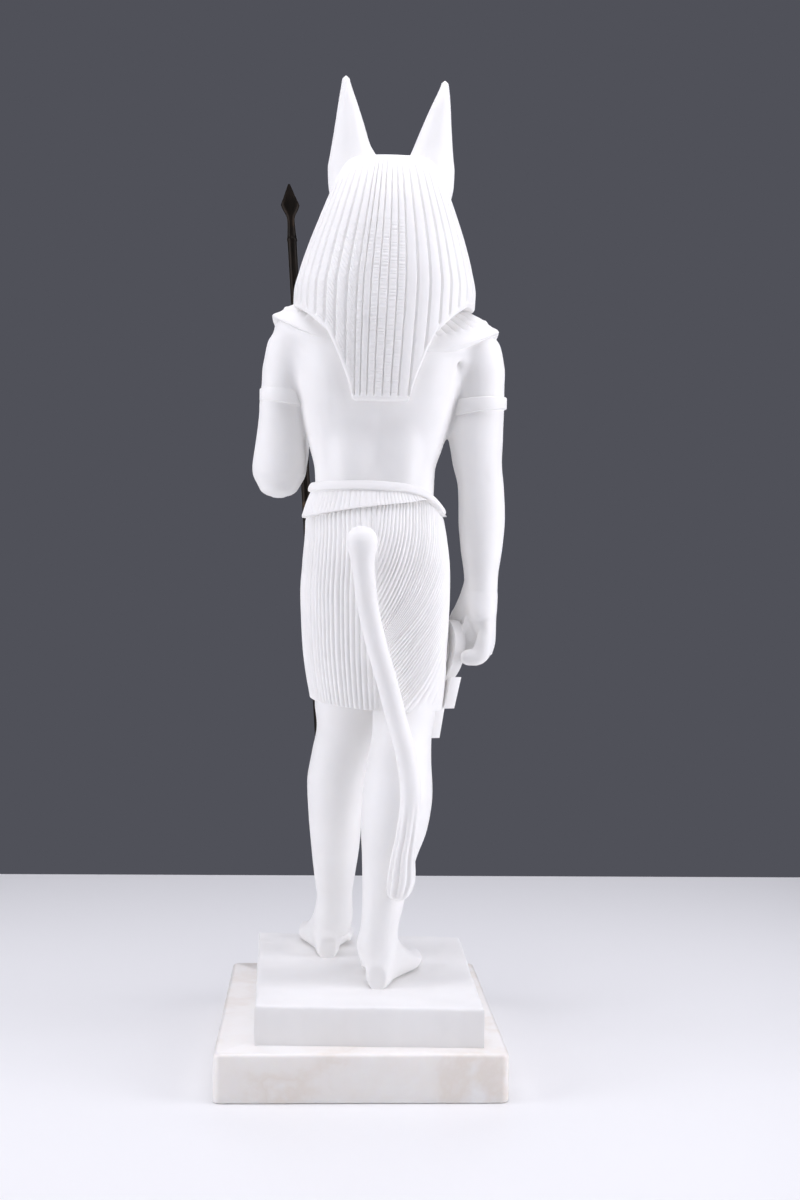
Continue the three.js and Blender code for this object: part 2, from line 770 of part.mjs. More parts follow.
// Ankh: a flat cross with a loop, tilted in towards the leg and turned a little outwards at its back.
function ankh() {
  const thickness = 4.2;
  const half = { stem: 2, stemEnd: 3, arm: 11, armEnd: 6, armRoot: 2.6, loop: 8 };
  const height = { bottom: -19, armRootUp: 4.4, loopTop: 28 };
  const outline = new THREE.Shape();
  outline.moveTo(-half.stemEnd, height.bottom);
  outline.lineTo(half.stemEnd, height.bottom);
  outline.lineTo(half.stem, -half.armRoot);
  outline.lineTo(half.arm, -half.armEnd);
  outline.lineTo(half.arm, half.armEnd);
  outline.lineTo(half.stem, height.armRootUp);
  const turnUp = (height.loopTop - height.armRootUp) * 0.6 + height.armRootUp;
  outline.bezierCurveTo(half.loop, 9, half.loop + 1.6, turnUp, 0, height.loopTop);
  outline.bezierCurveTo(-half.loop - 1.6, turnUp, -half.loop, 9, -half.stem, height.armRootUp);
  outline.lineTo(-half.arm, half.armEnd);
  outline.lineTo(-half.arm, -half.armEnd);
  outline.lineTo(-half.stem, -half.armRoot);
  const hole = new THREE.Path();
  hole.absellipse(0, 16, 2.9, 6.4, 0, FULL_TURN);
  outline.holes.push(hole);
  const plate = new THREE.ExtrudeGeometry(outline, {
    depth: thickness,
    bevelEnabled: false,
    curveSegments: 6,
  });
  plate.translate(0, 0, -thickness / 2);
  const turn = THREE.MathUtils.degToRad(21);
  const rearward = new THREE.Vector3(-Math.sin(turn), Math.cos(turn), 0);
  const upward = new THREE.Vector3(-0.17, 0, 1).normalize();
  const normal = new THREE.Vector3().crossVectors(rearward, upward).normalize();
  const squareUp = new THREE.Vector3().crossVectors(normal, rearward);
  plate.applyMatrix4(
    new THREE.Matrix4().makeBasis(rearward, squareUp, normal).setPosition(-31, 7, 140.4),
  );
  return solidOf(plate);
}

// A closed three.js geometry as a solid, its points merged by place.
function solidOf(geometry) {
  const loose = geometry.index ? geometry.toNonIndexed() : geometry;
  const position = loose.getAttribute("position");
  const numbers = new Map();
  const points = [];
  const faces = [];
  for (let i = 0; i < position.count; i++) {
    const point = new THREE.Vector3().fromBufferAttribute(position, i);
    const key = point.toArray().map((v) => v.toFixed(4)).join();
    if (!numbers.has(key)) {
      numbers.set(key, points.length);
      points.push(point);
    }
    faces.push(numbers.get(key));
  }
  return solidFrom(points, faces);
}

// Plinth: a roughly squared block, cast with the figure, a little out of square on its slab.
function plinth() {
  const corners = [
    [41, -65.5],
    [-45, -57.5],
    [-43.5, 63],
    [38, 59],
  ];
  const rows = [
    [SLAB.height, 0],
    [SLAB.height + PLINTH_HEIGHT / 2, 0.5],
    [FLOOR - 0.8, 0.2],
    [FLOOR, -0.8],
  ];
  const perSide = 2;
  const outline = corners.flatMap((corner, c) => {
    const next = corners[(c + 1) % corners.length];
    return Array.from({ length: perSide }, (_, k) => {
      const share = k / perSide;
      return corner.map((value, n) => THREE.MathUtils.lerp(value, next[n], share));
    });
  });
  const rings = rows.map(([z, out]) =>
    outline.map(([x, y]) => new THREE.Vector3(x + Math.sign(x) * out, y + Math.sign(y) * out, z)),
  );
  return ringSolid(rings);
}

function spearRod(radius, from, to) {
  const axis = new THREE.Vector3().subVectors(SPEAR_POINT, SPEAR_FOOT).normalize();
  const across = new THREE.Vector3().crossVectors(axis, BACK).normalize();
  const along = new THREE.Vector3().crossVectors(axis, across);
  return ringSolid([from, to].map((z) => ring(10, spearAt(z), across, along, radius, radius)));
}

function spear() {
  const lift = 0.3;
  const base = SPEAR_POINT.z - SPEAR_HEAD.length;
  const { halfWidth, halfThickness } = SPEAR_HEAD;
  const rows = [
    [base - 9, ROD_RADIUS, ROD_RADIUS],
    [base - 1, ROD_RADIUS * 0.8, ROD_RADIUS * 0.8],
    [base + 2, 2, halfThickness * 1.1],
    [base + 6.2, halfWidth, halfThickness],
    [base + 9, halfWidth * 0.72, halfThickness * 0.9],
    [SPEAR_POINT.z - 0.6, 0.4, 0.3],
  ];
  const head = ringSolid(rows.map(([z, a, b]) => ring(8, spearAt(z), LEFT, BACK, a, b)));
  return joined([spearRod(ROD_RADIUS, FLOOR + lift, base - 6), head]);
}

// Slab: a rectangular block with rounded upright corners and a softened upper edge.
function slab() {
  const { width, depth, height, corner, bevel } = SLAB;
  const rows = [
    [0, -0.6],
    [0.6, 0],
    [height - bevel, 0],
    [height - bevel * 0.3, -bevel * 0.3],
    [height, -bevel],
  ];
  const steps = 3;
  const quarter = [
    [1, 1],
    [-1, 1],
    [-1, -1],
    [1, -1],
  ];
  const rings = rows.map(([z, out]) =>
    quarter.flatMap(([sx, sy], q) =>
      Array.from({ length: steps + 1 }, (_, k) => {
        const angle = ((q + k / steps) * Math.PI) / 2;
        const radius = corner + out;
        return new THREE.Vector3(
          sx * (width / 2 - corner) + radius * Math.cos(angle),
          sy * (depth / 2 - corner) + radius * Math.sin(angle),
          z,
        );
      }),
    ),
  );
  return ringSolid(rings);
}

function figure() {
  const body = joined([
    torso(),
    leftLeg(),
    rightLeg(),
    foot([11, -14.6], THREE.MathUtils.degToRad(2), -1),
    foot([-5.2, 35.4], THREE.MathUtils.degToRad(-13), 1),
    rightArm(),
    rightFist(),
    leftUpperArm(),
    leftForearm(),
    leftFist(),
    muzzle(),
    ear(1),
    ear(-1),
  ]);
  const dress = joined([
    wig(),
    collar(),
    kilt(),
    apron(),
    armlet(-43.6, 13.8, 250.2, 9.3, 9.6, -1),
    armlet(31.9, 12.2, 252.4, 7.6, 9.4, 1),
    tail(),
    ankh(),
  ]);
  const gripHole = spearRod(ROD_RADIUS + ROD_CLEARANCE, FLOOR + 6, CROWN);
  return body.add(dress).subtract(gripHole).add(plinth());
}

// A solid as a named mesh in its material.
function piece(name, solid, material) {
  const { vertProperties, triVerts, numProp } = solid.getMesh();
  const position = new Float32Array((vertProperties.length / numProp) * 3);
  for (let i = 0; i < position.length / 3; i++) {
    position.set(vertProperties.subarray(i * numProp, i * numProp + 3), i * 3);
  }
  const geometry = new THREE.BufferGeometry();
  geometry.setAttribute("position", new THREE.BufferAttribute(position, 3));
  geometry.setIndex(new THREE.BufferAttribute(triVerts, 1));
  const mesh = new THREE.Mesh(geometry, new THREE.MeshStandardMaterial(material));
  mesh.name = name;
  return mesh;
}

const statue = new THREE.Group();
statue.add(piece("figure_with_plinth", figure(), alabaster));
statue.add(piece("base_slab", slab(), slabStone));
statue.add(piece("spear", spear(), bronze));

export default statue;
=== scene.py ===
"""A striding jackal-headed god in white alabaster with its plinth, on a polished slab, with a bronze spear.

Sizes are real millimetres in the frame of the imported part: +Z up, the figure faces -Y, its left side is +X.
"""

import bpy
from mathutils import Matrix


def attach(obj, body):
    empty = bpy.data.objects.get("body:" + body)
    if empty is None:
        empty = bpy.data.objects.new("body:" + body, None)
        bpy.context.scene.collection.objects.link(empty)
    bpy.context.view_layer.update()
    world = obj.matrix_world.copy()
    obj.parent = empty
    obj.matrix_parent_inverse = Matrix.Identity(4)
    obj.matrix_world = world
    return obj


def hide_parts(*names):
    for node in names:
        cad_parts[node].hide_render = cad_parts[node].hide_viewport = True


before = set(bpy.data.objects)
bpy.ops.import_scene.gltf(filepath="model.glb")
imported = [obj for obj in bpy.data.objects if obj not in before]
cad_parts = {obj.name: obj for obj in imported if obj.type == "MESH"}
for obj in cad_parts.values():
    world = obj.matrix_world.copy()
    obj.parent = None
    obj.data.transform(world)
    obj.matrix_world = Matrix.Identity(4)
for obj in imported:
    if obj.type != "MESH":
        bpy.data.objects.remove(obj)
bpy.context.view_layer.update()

import math

import bmesh
import bpy
import numpy as np
import openvdb
from mathutils import Euler, Matrix, Vector

MM = 0.001
RANDOM = np.random.default_rng(7)

# Driving dimensions, as the solids have them
SLAB_WIDTH, SLAB_DEPTH, SLAB_HEIGHT = 104, 140, 17.5
SLAB_CORNER, SLAB_BEVEL = 3, 1.6
PLINTH_HEIGHT = 14
FLOOR = SLAB_HEIGHT + PLINTH_HEIGHT
CROWN = 345.2
EAR_TIP = 377.8
FACE_X = -9.2
FOOT_LENGTH = 43.5
GRIP_HEIGHT = 252
ROD_RADIUS = 2
ROD_CLEARANCE = 0.35
HEAD_LENGTH, HEAD_HALF_WIDTH, HEAD_HALF_THICKNESS = 15.5, 3.9, 1.3
SPEAR_FOOT = np.array([10.2, -60.3, FLOOR])
SPEAR_POINT = np.array([31.6, -47.5, 348.6])

# Carving, at its real spacing
WIG_GROOVE = 0.8
WIG_RIM = 1.3
STROKE_DEPTH = 0.3
LEFT_PLEATS = 42
RIGHT_PLEATS = 58
PLEAT_DEPTH = 0.62
PETAL_SPACING = 3.5
PETAL_HEIGHT = 0.9
CLAY_CELL = 0.7

# Triangles kept in each form of the figure, which stays under 200,000 in all
KEPT = {"body": 46000, "wig": 74000, "collar": 15000, "kilt": 46000, "tail": 9000, "plinth": 10000}


# Tables and curves

def smooth_read(table, where):
    """Values read off a table of [position, value, ...] rows by a curve that doesn't overshoot its rows."""
    rows = np.array(sorted(map(list, table)), float)
    x, y = rows[:, 0], rows[:, 1:]
    step = np.diff(x)
    slope = np.diff(y, axis=0) / step[:, None]
    same = slope[:-1] * slope[1:] > 0
    before, after = (2 * step[1:] + step[:-1])[:, None], (step[1:] + 2 * step[:-1])[:, None]
    safe = [np.where(same, s, 1) for s in (slope[:-1], slope[1:])]
    inner = np.where(same, (before + after) / (before / safe[0] + after / safe[1]), 0)
    tangent = np.vstack([slope[:1], inner, slope[-1:]])
    shape = np.shape(where)
    flat = np.clip(np.ravel(where), x[0], x[-1])
    i = np.clip(np.searchsorted(x, flat) - 1, 0, len(x) - 2)
    t = ((flat - x[i]) / step[i])[:, None]
    rise, run = t * t * (3 - 2 * t), step[i][:, None]
    bend = run * (tangent[i] * t * (1 - t) ** 2 - tangent[i + 1] * t * t * (1 - t))
    out = y[i] * (1 - rise) + y[i + 1] * rise + bend
    return [column.reshape(shape) for column in out.T]


def straight_read(table, where):
    """The same by straight lines, for one value."""
    rows = np.array(sorted(map(list, table)), float)
    return np.interp(where, rows[:, 0], rows[:, 1])


def smoothstep(low, high, value):
    t = np.clip((value - low) / (high - low), 0, 1)
    return t * t * (3 - 2 * t)


def squared(value, power):
    return np.sign(value) * np.abs(value) ** (2 / power)


def curve_through(points, count):
    """Points at even steps along a smooth curve through some others."""
    points = np.array(points, float)
    length = np.concatenate([[0], np.cumsum(np.linalg.norm(np.diff(points, axis=0), axis=1))])
    table = np.column_stack([length, points])
    return np.column_stack(smooth_read(table, np.linspace(0, length[-1], count)))


# Meshes

def mesh_object(name, points, faces):
    """An object at the origin from points in millimetres and lists of faces of one size each."""
    mesh = bpy.data.meshes.new(name)
    points = np.asarray(points, float) * MM
    corners = np.concatenate([np.ravel(f) for f in faces]).astype(np.int32)
    sizes = np.concatenate([np.full(len(f), np.shape(f)[1]) for f in faces]).astype(np.int32)
    mesh.vertices.add(len(points))
    mesh.vertices.foreach_set("co", points.ravel().astype(np.float32))
    mesh.loops.add(len(corners))
    mesh.loops.foreach_set("vertex_index", corners)
    mesh.polygons.add(len(sizes))
    mesh.polygons.foreach_set("loop_start", np.concatenate([[0], np.cumsum(sizes)[:-1]]).astype(np.int32))
    mesh.update(calc_edges=True)
    mesh.validate()
    piece = bpy.data.objects.new(name, mesh)
    bpy.context.scene.collection.objects.link(piece)
    return piece


def volume_of(points, faces):
    total = 0
    for f in faces:
        f = np.asarray(f)
        for k in range(1, f.shape[1] - 1):
            a, b, c = points[f[:, 0]], points[f[:, k]], points[f[:, k + 1]]
            total += np.einsum("ij,ij->", a, np.cross(b, c))
    return total


def shell(name, rings, start=None, end=None):
    """A closed skin through equal rings of points, each end closed by a fan to a point."""
    rings = np.asarray(rings, float)
    rows, sides = rings.shape[:2]
    start = rings[0].mean(axis=0) if start is None else start
    end = rings[-1].mean(axis=0) if end is None else end
    points = np.vstack([rings.reshape(-1, 3), start, end])
    i = np.arange(sides)
    after = (i + 1) % sides
    quads = [np.column_stack([r * sides + i, r * sides + after, (r + 1) * sides + after, (r + 1) * sides + i])
             for r in range(rows - 1)]
    top = (rows - 1) * sides
    fans = [np.column_stack([after, i, np.full(sides, rows * sides)]),
            np.column_stack([top + i, top + after, np.full(sides, rows * sides + 1)])]
    faces = [np.vstack(quads), np.vstack(fans)]
    if volume_of(points, faces) < 0:
        faces = [f[:, ::-1] for f in faces]
    return mesh_object(name, points, faces)


def evaluated(piece):
    """The piece with its modifiers worked into a plain mesh."""
    graph = bpy.context.evaluated_depsgraph_get()
    graph.update()
    mesh = bpy.data.meshes.new_from_object(piece.evaluated_get(graph))
    piece.modifiers.clear()
    old = piece.data
    piece.data = mesh
    if old.users == 0:
        bpy.data.meshes.remove(old)
    return piece


def thinned(piece, triangles):
    """The piece with about that many triangles, kept where the form bends most."""
    piece.data.calc_loop_triangles()
    ratio = triangles / len(piece.data.loop_triangles)
    if ratio >= 1:
        return piece
    modifier = piece.modifiers.new("thin", "DECIMATE")
    modifier.ratio = ratio
    return evaluated(piece)


def cut_or_joined(piece, others, operation):
    """The piece with the others joined to it or cut from it."""
    for other in others:
        modifier = piece.modifiers.new(other.name, "BOOLEAN")
        modifier.operation = operation
        modifier.solver = "MANIFOLD"
        modifier.object = other
        evaluated(piece)
        bpy.data.objects.remove(other)
    return piece


def smooth_shaded(piece, degrees):
    mesh = piece.data
    mesh.shade_smooth()
    mesh.set_sharp_from_angle(angle=math.radians(degrees))
    return piece


# Clay: the body's soft forms, blended into each other as modelled clay is before a cast is taken

class Clay:
    """A block of cells that holds the distance to the modelled skin, negative inside it."""

    far = 5.0

    def __init__(self, low, high, cell):
        self.low, self.cell = np.array(low, float), cell
        self.axes = [np.arange(a, b, cell, dtype=np.float32) for a, b in zip(low, high)]
        self.gap = np.full([len(a) for a in self.axes], self.far, np.float32)

    def _part(self, low, high):
        cut = tuple(slice(np.searchsorted(a, l - 4), np.searchsorted(a, h + 4))
                    for a, l, h in zip(self.axes, low, high))
        return cut, np.meshgrid(*[a[c] for a, c in zip(self.axes, cut)], indexing="ij", sparse=True)

    def add(self, form, blend=2.0):
        distance, low, high = form
        cut, (x, y, z) = self._part(low, high)
        new, old = distance(x, y, z).astype(np.float32), self.gap[cut]
        share = np.clip(0.5 + 0.5 * (old - new) / blend, 0, 1)
        self.gap[cut] = old + (new - old) * share - blend * share * (1 - share)

    def carve(self, form, blend=1.0):
        distance, low, high = form
        cut, (x, y, z) = self._part(low, high)
        new, old = -distance(x, y, z).astype(np.float32), self.gap[cut]
        share = np.clip(0.5 - 0.5 * (old - new) / blend, 0, 1)
        self.gap[cut] = old + (new - old) * share + blend * share * (1 - share)

    def skin(self, name):
        grid = openvdb.FloatGrid(self.far)
        grid.copyFromArray(self.gap)
        points, quads = grid.convertToQuads(0.0)
        points = np.asarray(points, float) * self.cell + self.low
        quads = np.asarray(quads, np.int64)
        if volume_of(points, [quads]) < 0:
            quads = quads[:, ::-1]
        return mesh_object(name, points, [quads])


def section_distance(first, second, half_first, half_second, power):
    """Distance in a plane to a rounded oblong of those half sizes."""
    ratio = (np.abs(first / half_first) ** power + np.abs(second / half_second) ** power) ** (1 / power)
    return np.sqrt(first * first + second * second) * (1 - 1 / np.maximum(ratio, 1e-3))


def loft(rows, power=2.0, order="zxy"):
    """A form from rows of [along, first, second, half, half], whose axes are named in that order."""
    table = np.array(rows, float)
    first_row, last_row = table[:, 0].min(), table[:, 0].max()

    def distance(x, y, z):
        places = {"x": x, "y": y, "z": z}
        along, first, second = (places[letter] for letter in order)
        middle_1, middle_2, half_1, half_2 = smooth_read(table, along)
        side = section_distance(first - middle_1, second - middle_2, half_1, half_2, power)
        past = np.maximum(first_row - along, along - last_row)
        outside = np.hypot(np.maximum(side, 0), np.maximum(past, 0))
        return np.where((side < 0) & (past < 0), np.maximum(side, past), outside)

    reach = [(first_row, last_row)] + [
        ((table[:, 1 + n] - table[:, 3 + n]).min(), (table[:, 1 + n] + table[:, 3 + n]).max()) for n in (0, 1)]
    box = {letter: span for letter, span in zip(order, reach)}
    return distance, [box[c][0] for c in "xyz"], [box[c][1] for c in "xyz"]


def pipe(points, radii, count=14):
    """A round form of changing radius along a smooth path."""
    path = curve_through(points, count)
    sizes = straight_read(np.column_stack([np.linspace(0, 1, len(radii)), radii]), np.linspace(0, 1, count))

    def distance(x, y, z):
        best = np.full(np.broadcast(x, y, z).shape, 99.0)
        for a, b, r, s in zip(path[:-1], path[1:], sizes[:-1], sizes[1:]):
            way = b - a
            offset = (x - a[0], y - a[1], z - a[2])
            share = np.clip(sum(o * w for o, w in zip(offset, way)) / way.dot(way), 0, 1)
            near = sum((o - share * w) ** 2 for o, w in zip(offset, way))
            best = np.minimum(best, np.sqrt(near) - (r + (s - r) * share))
        return best

    largest = max(radii)
    return distance, path.min(axis=0) - largest, path.max(axis=0) + largest


def lump(middle, halves, turn=(0, 0, 0)):
    """An egg-like form, turned by three angles in degrees."""
    middle, halves = np.array(middle, float), np.array(halves, float)
    back = np.array(Euler([math.radians(a) for a in turn]).to_matrix().inverted())

    def distance(x, y, z):
        offset = (x - middle[0], y - middle[1], z - middle[2])
        local = [sum(back[row][k] * offset[k] for k in range(3)) for row in range(3)]
        ratio = np.sqrt(sum((l / h) ** 2 for l, h in zip(local, halves)))
        return np.sqrt(sum(l * l for l in local)) * (1 - 1 / np.maximum(ratio, 1e-3))

    largest = halves.max()
    return distance, middle - largest, middle + largest


def domed(rows, height, at_start):
    """Rows with a rounded end added past the first or the last of them."""
    row = rows[0] if at_start else rows[-1]
    way = np.sign(row[0] - (rows[1] if at_start else rows[-2])[0])
    cap = [[row[0] + way * height * share, row[1], row[2], row[3] * size, row[4] * size]
           for share, size in ((0.5, 0.87), (0.8, 0.6), (0.97, 0.24))]
    return cap[::-1] + rows if at_start else rows + cap


# The body

TORSO = [
    [212, -3.7, 15.4, 22.4, 14.4],
    [219.5, -3.7, 15.2, 22.6, 14.5],
    [225, -3.7, 14.8, 22.9, 14.4],
    [233, -4, 14.6, 25.1, 15.2],
    [242, -4.2, 14.8, 27.5, 16.6],
    [250, -4.4, 15.4, 29.4, 18.2],
    [260, -4.6, 15.6, 32.4, 18.8],
    [268, -5.6, 15.4, 35.6, 17.8],
    [275, -6.6, 15.2, 34.6, 15.4],
    [281, -7.2, 14.6, 24, 12.6],
    [288, -7.8, 13.5, 13.2, 11],
    [306, -9, 10.4, 11.2, 11],
]
LEFT_LEG = [
    [150, 4.6, 5, 12, 12.6],
    [136, 5.5, 1.6, 12.6, 12.4],
    [126, 5.6, -1.2, 11.6, 11.5],
    [117, 7, -3.4, 11.7, 11.8],
    [103, 9.3, -6.2, 11.4, 12.4],
    [90, 9.4, -9.8, 10.6, 11.2],
    [76, 9.2, -14.6, 9.5, 9.2],
    [64, 9.3, -19, 8.1, 7.6],
    [56, 9.2, -21.8, 7.2, 6.6],
    [47, 9.6, -23, 7.9, 7.2],
    [40, 10.2, -23.6, 7, 8],
]
RIGHT_LEG = [
    [150, -14.9, 17, 11.6, 12],
    [134, -15.8, 19, 11.9, 11.4],
    [125, -15, 21.2, 11.3, 11.2],
    [116, -14.1, 22.6, 12, 11.9],
    [101, -13.4, 23.8, 13.2, 12.6],
    [90, -12.4, 24, 12.5, 12],
    [79, -10.7, 24.2, 10.3, 10.1],
    [70, -9.4, 24.6, 8.8, 8.8],
    [60, -8.3, 25, 7.7, 7.6],
    [53, -7.3, 25.2, 7.1, 7.5],
    [46.5, -6.5, 25, 7.7, 7.9],
    [40, -6.3, 24.6, 6.2, 8.6],
]
FOOT = [
    [0.03, 0.6, 4.1, 3.2, 4.9],
    [0.1, 0.6, 6.6, 5, 7.4],
    [0.22, 0.6, 9.1, 5.6, 9.9],
    [0.36, 0.5, 9, 6.4, 9.8],
    [0.5, 0.4, 6.6, 8.2, 7.4],
    [0.64, 0.2, 5, 10.3, 5.8],
    [0.78, 0, 3.8, 11.6, 4.6],
    [0.87, -0.2, 2.8, 11, 3.6],
]
TOES = [[1, 7.7, 3.3], [0.985, 2.7, 2.5], [0.95, -1.5, 2.35], [0.9, -5.2, 2.2], [0.84, -8.6, 2.1]]
RIGHT_ARM = [
    [278, -39, 14.4, 9, 8.4],
    [273, -41.2, 14.4, 9.9, 9.6],
    [265, -42.6, 14.4, 10.2, 10.2],
    [258, -43.6, 14, 9.3, 9.8],
    [249, -43.5, 13.7, 9.4, 9.4],
    [239, -42.4, 13.5, 10.3, 9.7],
    [229, -42.9, 13.4, 9.5, 9.3],
    [219, -44.5, 13.4, 8.8, 8.6],
    [208, -45, 13, 8.9, 8.9],
    [196, -45.1, 12.4, 8, 8.3],
    [185, -45.2, 11.6, 6.5, 7],
    [175, -45.4, 11, 6.1, 6.6],
    [168, -46.2, 10.4, 5.1, 8],
    [160, -47.6, 10, 3.5, 8.8],
    [155, -46.6, 10, 3.2, 8.6],
]
LEFT_UPPER_ARM = [
    [278, 25.6, 14.4, 9.2, 8.4],
    [273, 27.6, 14.2, 10, 9.6],
    [265, 29.1, 13.8, 10.1, 10.2],
    [257, 31.2, 12.8, 8.6, 9.8],
    [248, 32.6, 11.6, 8, 9.4],
    [239, 32.5, 10, 8.9, 9.4],
    [230, 32.5, 8, 10, 10.2],
    [224, 32.9, 7.4, 9.7, 9.8],
    [219.5, 33, 6.6, 7.6, 8],
]
LEFT_FOREARM = [
    [9, 32.8, 225.8, 9, 9.4],
    [1, 32.5, 227.6, 10.1, 10.8],
    [-8, 31.4, 231.6, 9.5, 10.8],
    [-19, 29.4, 238.2, 7.8, 9],
    [-30, 27.6, 244.8, 6, 7.2],
    [-37, 27, 248.6, 5.4, 6.8],
    [-43, 27.8, 251, 5, 7.8],
    [-49, 29.4, 252, 3.9, 8.8],
    [-55, 29.8, 252, 3.6, 8.8],
]
MUZZLE = [
    [10, FACE_X, 322, 14.8, 19],
    [0, FACE_X, 322, 14.8, 18.6],
    [-6, FACE_X, 320.6, 13.4, 16.6],
    [-11, FACE_X, 318.4, 11.2, 13.6],
    [-16, FACE_X, 316, 8.8, 10.6],
    [-22, FACE_X, 314.2, 7, 8.2],
    [-30, FACE_X, 313, 6, 6.6],
    [-37, FACE_X, 312.4, 5.2, 5.6],
]


def spear_at(z):
    return SPEAR_FOOT + (SPEAR_POINT - SPEAR_FOOT) * (z - SPEAR_FOOT[2]) / (SPEAR_POINT[2] - SPEAR_FOOT[2])


def add_foot(clay, heel, splay, big_toe_side):
    """A foot on the plinth: the heel's back, the way the toes point, and the side where the big toe is."""
    forward = np.array([math.sin(splay), -math.cos(splay)])
    aside = np.array([-forward[1], forward[0]]) * -big_toe_side
    rows = [[share * FOOT_LENGTH, *rest] for share, *rest in FOOT]
    sole, _, _ = loft(rows, 2.4, "xyz")

    def distance(x, y, z):
        along = (x - heel[0]) * forward[0] + (y - heel[1]) * forward[1] + 0 * z
        side = (x - heel[0]) * aside[0] + (y - heel[1]) * aside[1] + 0 * z
        return sole(along, side, z - FLOOR + 0 * along)

    def place(share, side, height):
        return [*(np.array(heel) + forward * share * FOOT_LENGTH + aside * side), FLOOR + height]

    ends = np.array([place(s, w, h) for s in (0, 1) for w in (-10, 10) for h in (-2, 20)])
    clay.add((distance, ends.min(axis=0), ends.max(axis=0)), 2.5)
    for reach, side, size in TOES:
        path = [place(reach - 0.28, side * 0.96, size + 1.9), place(reach - 0.13, side, size + 1.1),
                place(reach - 0.05, side, size - 0.1)]
        clay.add(pipe(path, [size, size * 1.04, size * 0.95], 8), 0.7)


def add_right_hand(clay):
    """The right fist, closed round the ankh's loop: its fingers, the heel of the hand and the hollow between."""
    for i, y in enumerate((16.6, 11.4, 6.4, 1.8)):
        size = 3.5 - 0.15 * (i % 2)
        path = [[-46.3, y, 163], [-45.4, y, 156.4], [-42.8, y, 154.3], [-40.2, y, 154.1]]
        clay.add(pipe(path, [2.4, size * 0.95, size, size * 0.86]), 0.5)
    clay.add(loft([[-1, -42.8, 162.5, 3.6, 6], [2, -43, 162.5, 5, 9], [12.6, -43, 162.5, 5, 9]], 2.6, "yxz"), 1)
    clay.add(loft(domed([[178, -45.2, 11.2, 5.9, 6.6], [172, -45.3, 11, 5.6, 8.2], [169.6, -45.2, 11, 4.7, 8.6]],
                        2.2, False), 2.6), 1.4)
    clay.add(pipe([[-47.4, 14, 172], [-47.6, 14.4, 166], [-46.6, 14.4, 159]], [2.9, 2.3, 2.4]), 1.2)
    clay.add(pipe([[-42.2, 9, 179], [-39.4, 6.5, 173], [-37, 3, 168.4]], [4, 3.6, 3.1]), 2.4)
    clay.add(pipe([[-38, 3.5, 170], [-38.8, -1.4, 164.6], [-39.6, -2.4, 158.6]], [3.2, 2.9, 2.3]), 1)
    clay.carve(pipe([[-40, 19.6, 173.6], [-45, 19.8, 173.4], [-50, 18, 173.6]], [0.5, 0.7, 0.4]), 0.9)


def add_left_hand(clay):
    """The left fist, upright round the spear."""
    x, y, _ = spear_at(GRIP_HEIGHT)
    for i, lift in enumerate((-6.4, -2.1, 2.2, 6.4)):
        z, size = GRIP_HEIGHT + lift, 2.15 + 0.08 * i
        path = [[x + 4.6, y - 3.6, z], [x + 1.8, y - 5.2, z], [x - 3, y - 4.2, z], [x - 4.8, y, z],
                [x - 2.6, y + 3.6, z]]
        clay.add(pipe(path, [size, size, size * 0.85]), 0.5)
    top = GRIP_HEIGHT + 6
    clay.add(pipe([[x + 1, y + 7, top], [x - 4.6, y + 3.6, top + 0.4], [x - 6.4, y - 2.4, top - 1]],
                  [3.2, 2.7, 2.1]), 0.8)
    clay.add(lump((x - 0.4, y + 6.4, GRIP_HEIGHT), (5, 4.6, 8)), 1.5)


def add_head(clay):
    """The jackal's head: a long muzzle out of the wig, with brows, eyes, nose and a closed mouth."""
    clay.add(loft(domed(MUZZLE, 4, False), 2.3, "yxz"), 3)
    clay.add(lump((FACE_X, -40, 315.2), (3.4, 2.6, 2.6)), 0.8)
    for side in (-1, 1):
        clay.add(lump((FACE_X + side * 9, -8, 327), (3, 7, 2.2), (0, 0, side * 12)), 3)
        clay.carve(lump((FACE_X + side * 11.6, -11, 323.4), (2.2, 5, 2.4)), 1)
        clay.add(lump((FACE_X + side * 10.2, -10.4, 323.2), (2.2, 4, 1.8)), 0.5)
        clay.carve(pipe([[FACE_X + side * 4.6, -39.6, 311.4], [FACE_X + side * 6.3, -33, 310.8],
                         [FACE_X + side * 7.6, -24, 309.8], [FACE_X + side * 9.4, -15, 310.6]],
                        [0.5, 0.6, 0.6, 0.3]), 0.5)
        clay.carve(lump((FACE_X + side * 1.7, -42.3, 314.6), (0.8, 1.1, 0.7)), 0.3)


def add_back(clay):
    """The back's shallow relief: a furrow down the spine, the shoulder blades and the loins either side of it."""
    spine = [[-6.2, 36.2, 262], [-5.2, 36, 250], [-4.4, 33.6, 238], [-3.8, 32.8, 226]]
    clay.carve(pipe(spine, [1.6, 1.9, 1.6, 0.9]), 3.5)
    for side in (-1, 1):
        clay.add(lump((-4.5 + side * 15, 27.4, 262), (9, 5.6, 12), (0, side * 14, 0)), 5)
        clay.add(lump((-4 + side * 9, 26.6, 230), (5.5, 3.8, 12)), 5)
    clay.carve(pipe([[-33.4, 24, 268], [-34.8, 25.4, 260], [-33.4, 25.8, 252]], [0.7, 1.2, 0.8]), 3)
    rim = [collar_rim(a) for a in np.radians([-12, 12, 34, 56, 78])]
    middle = np.array([COLLAR_X, COLLAR_Y])
    way = [[*(middle + (np.array(p[:2]) - middle) * 0.9), p[2] - 3.6] for p in rim]
    clay.add(pipe(way, [2.6, 3.1, 3.3, 3.3, 3]), 4)


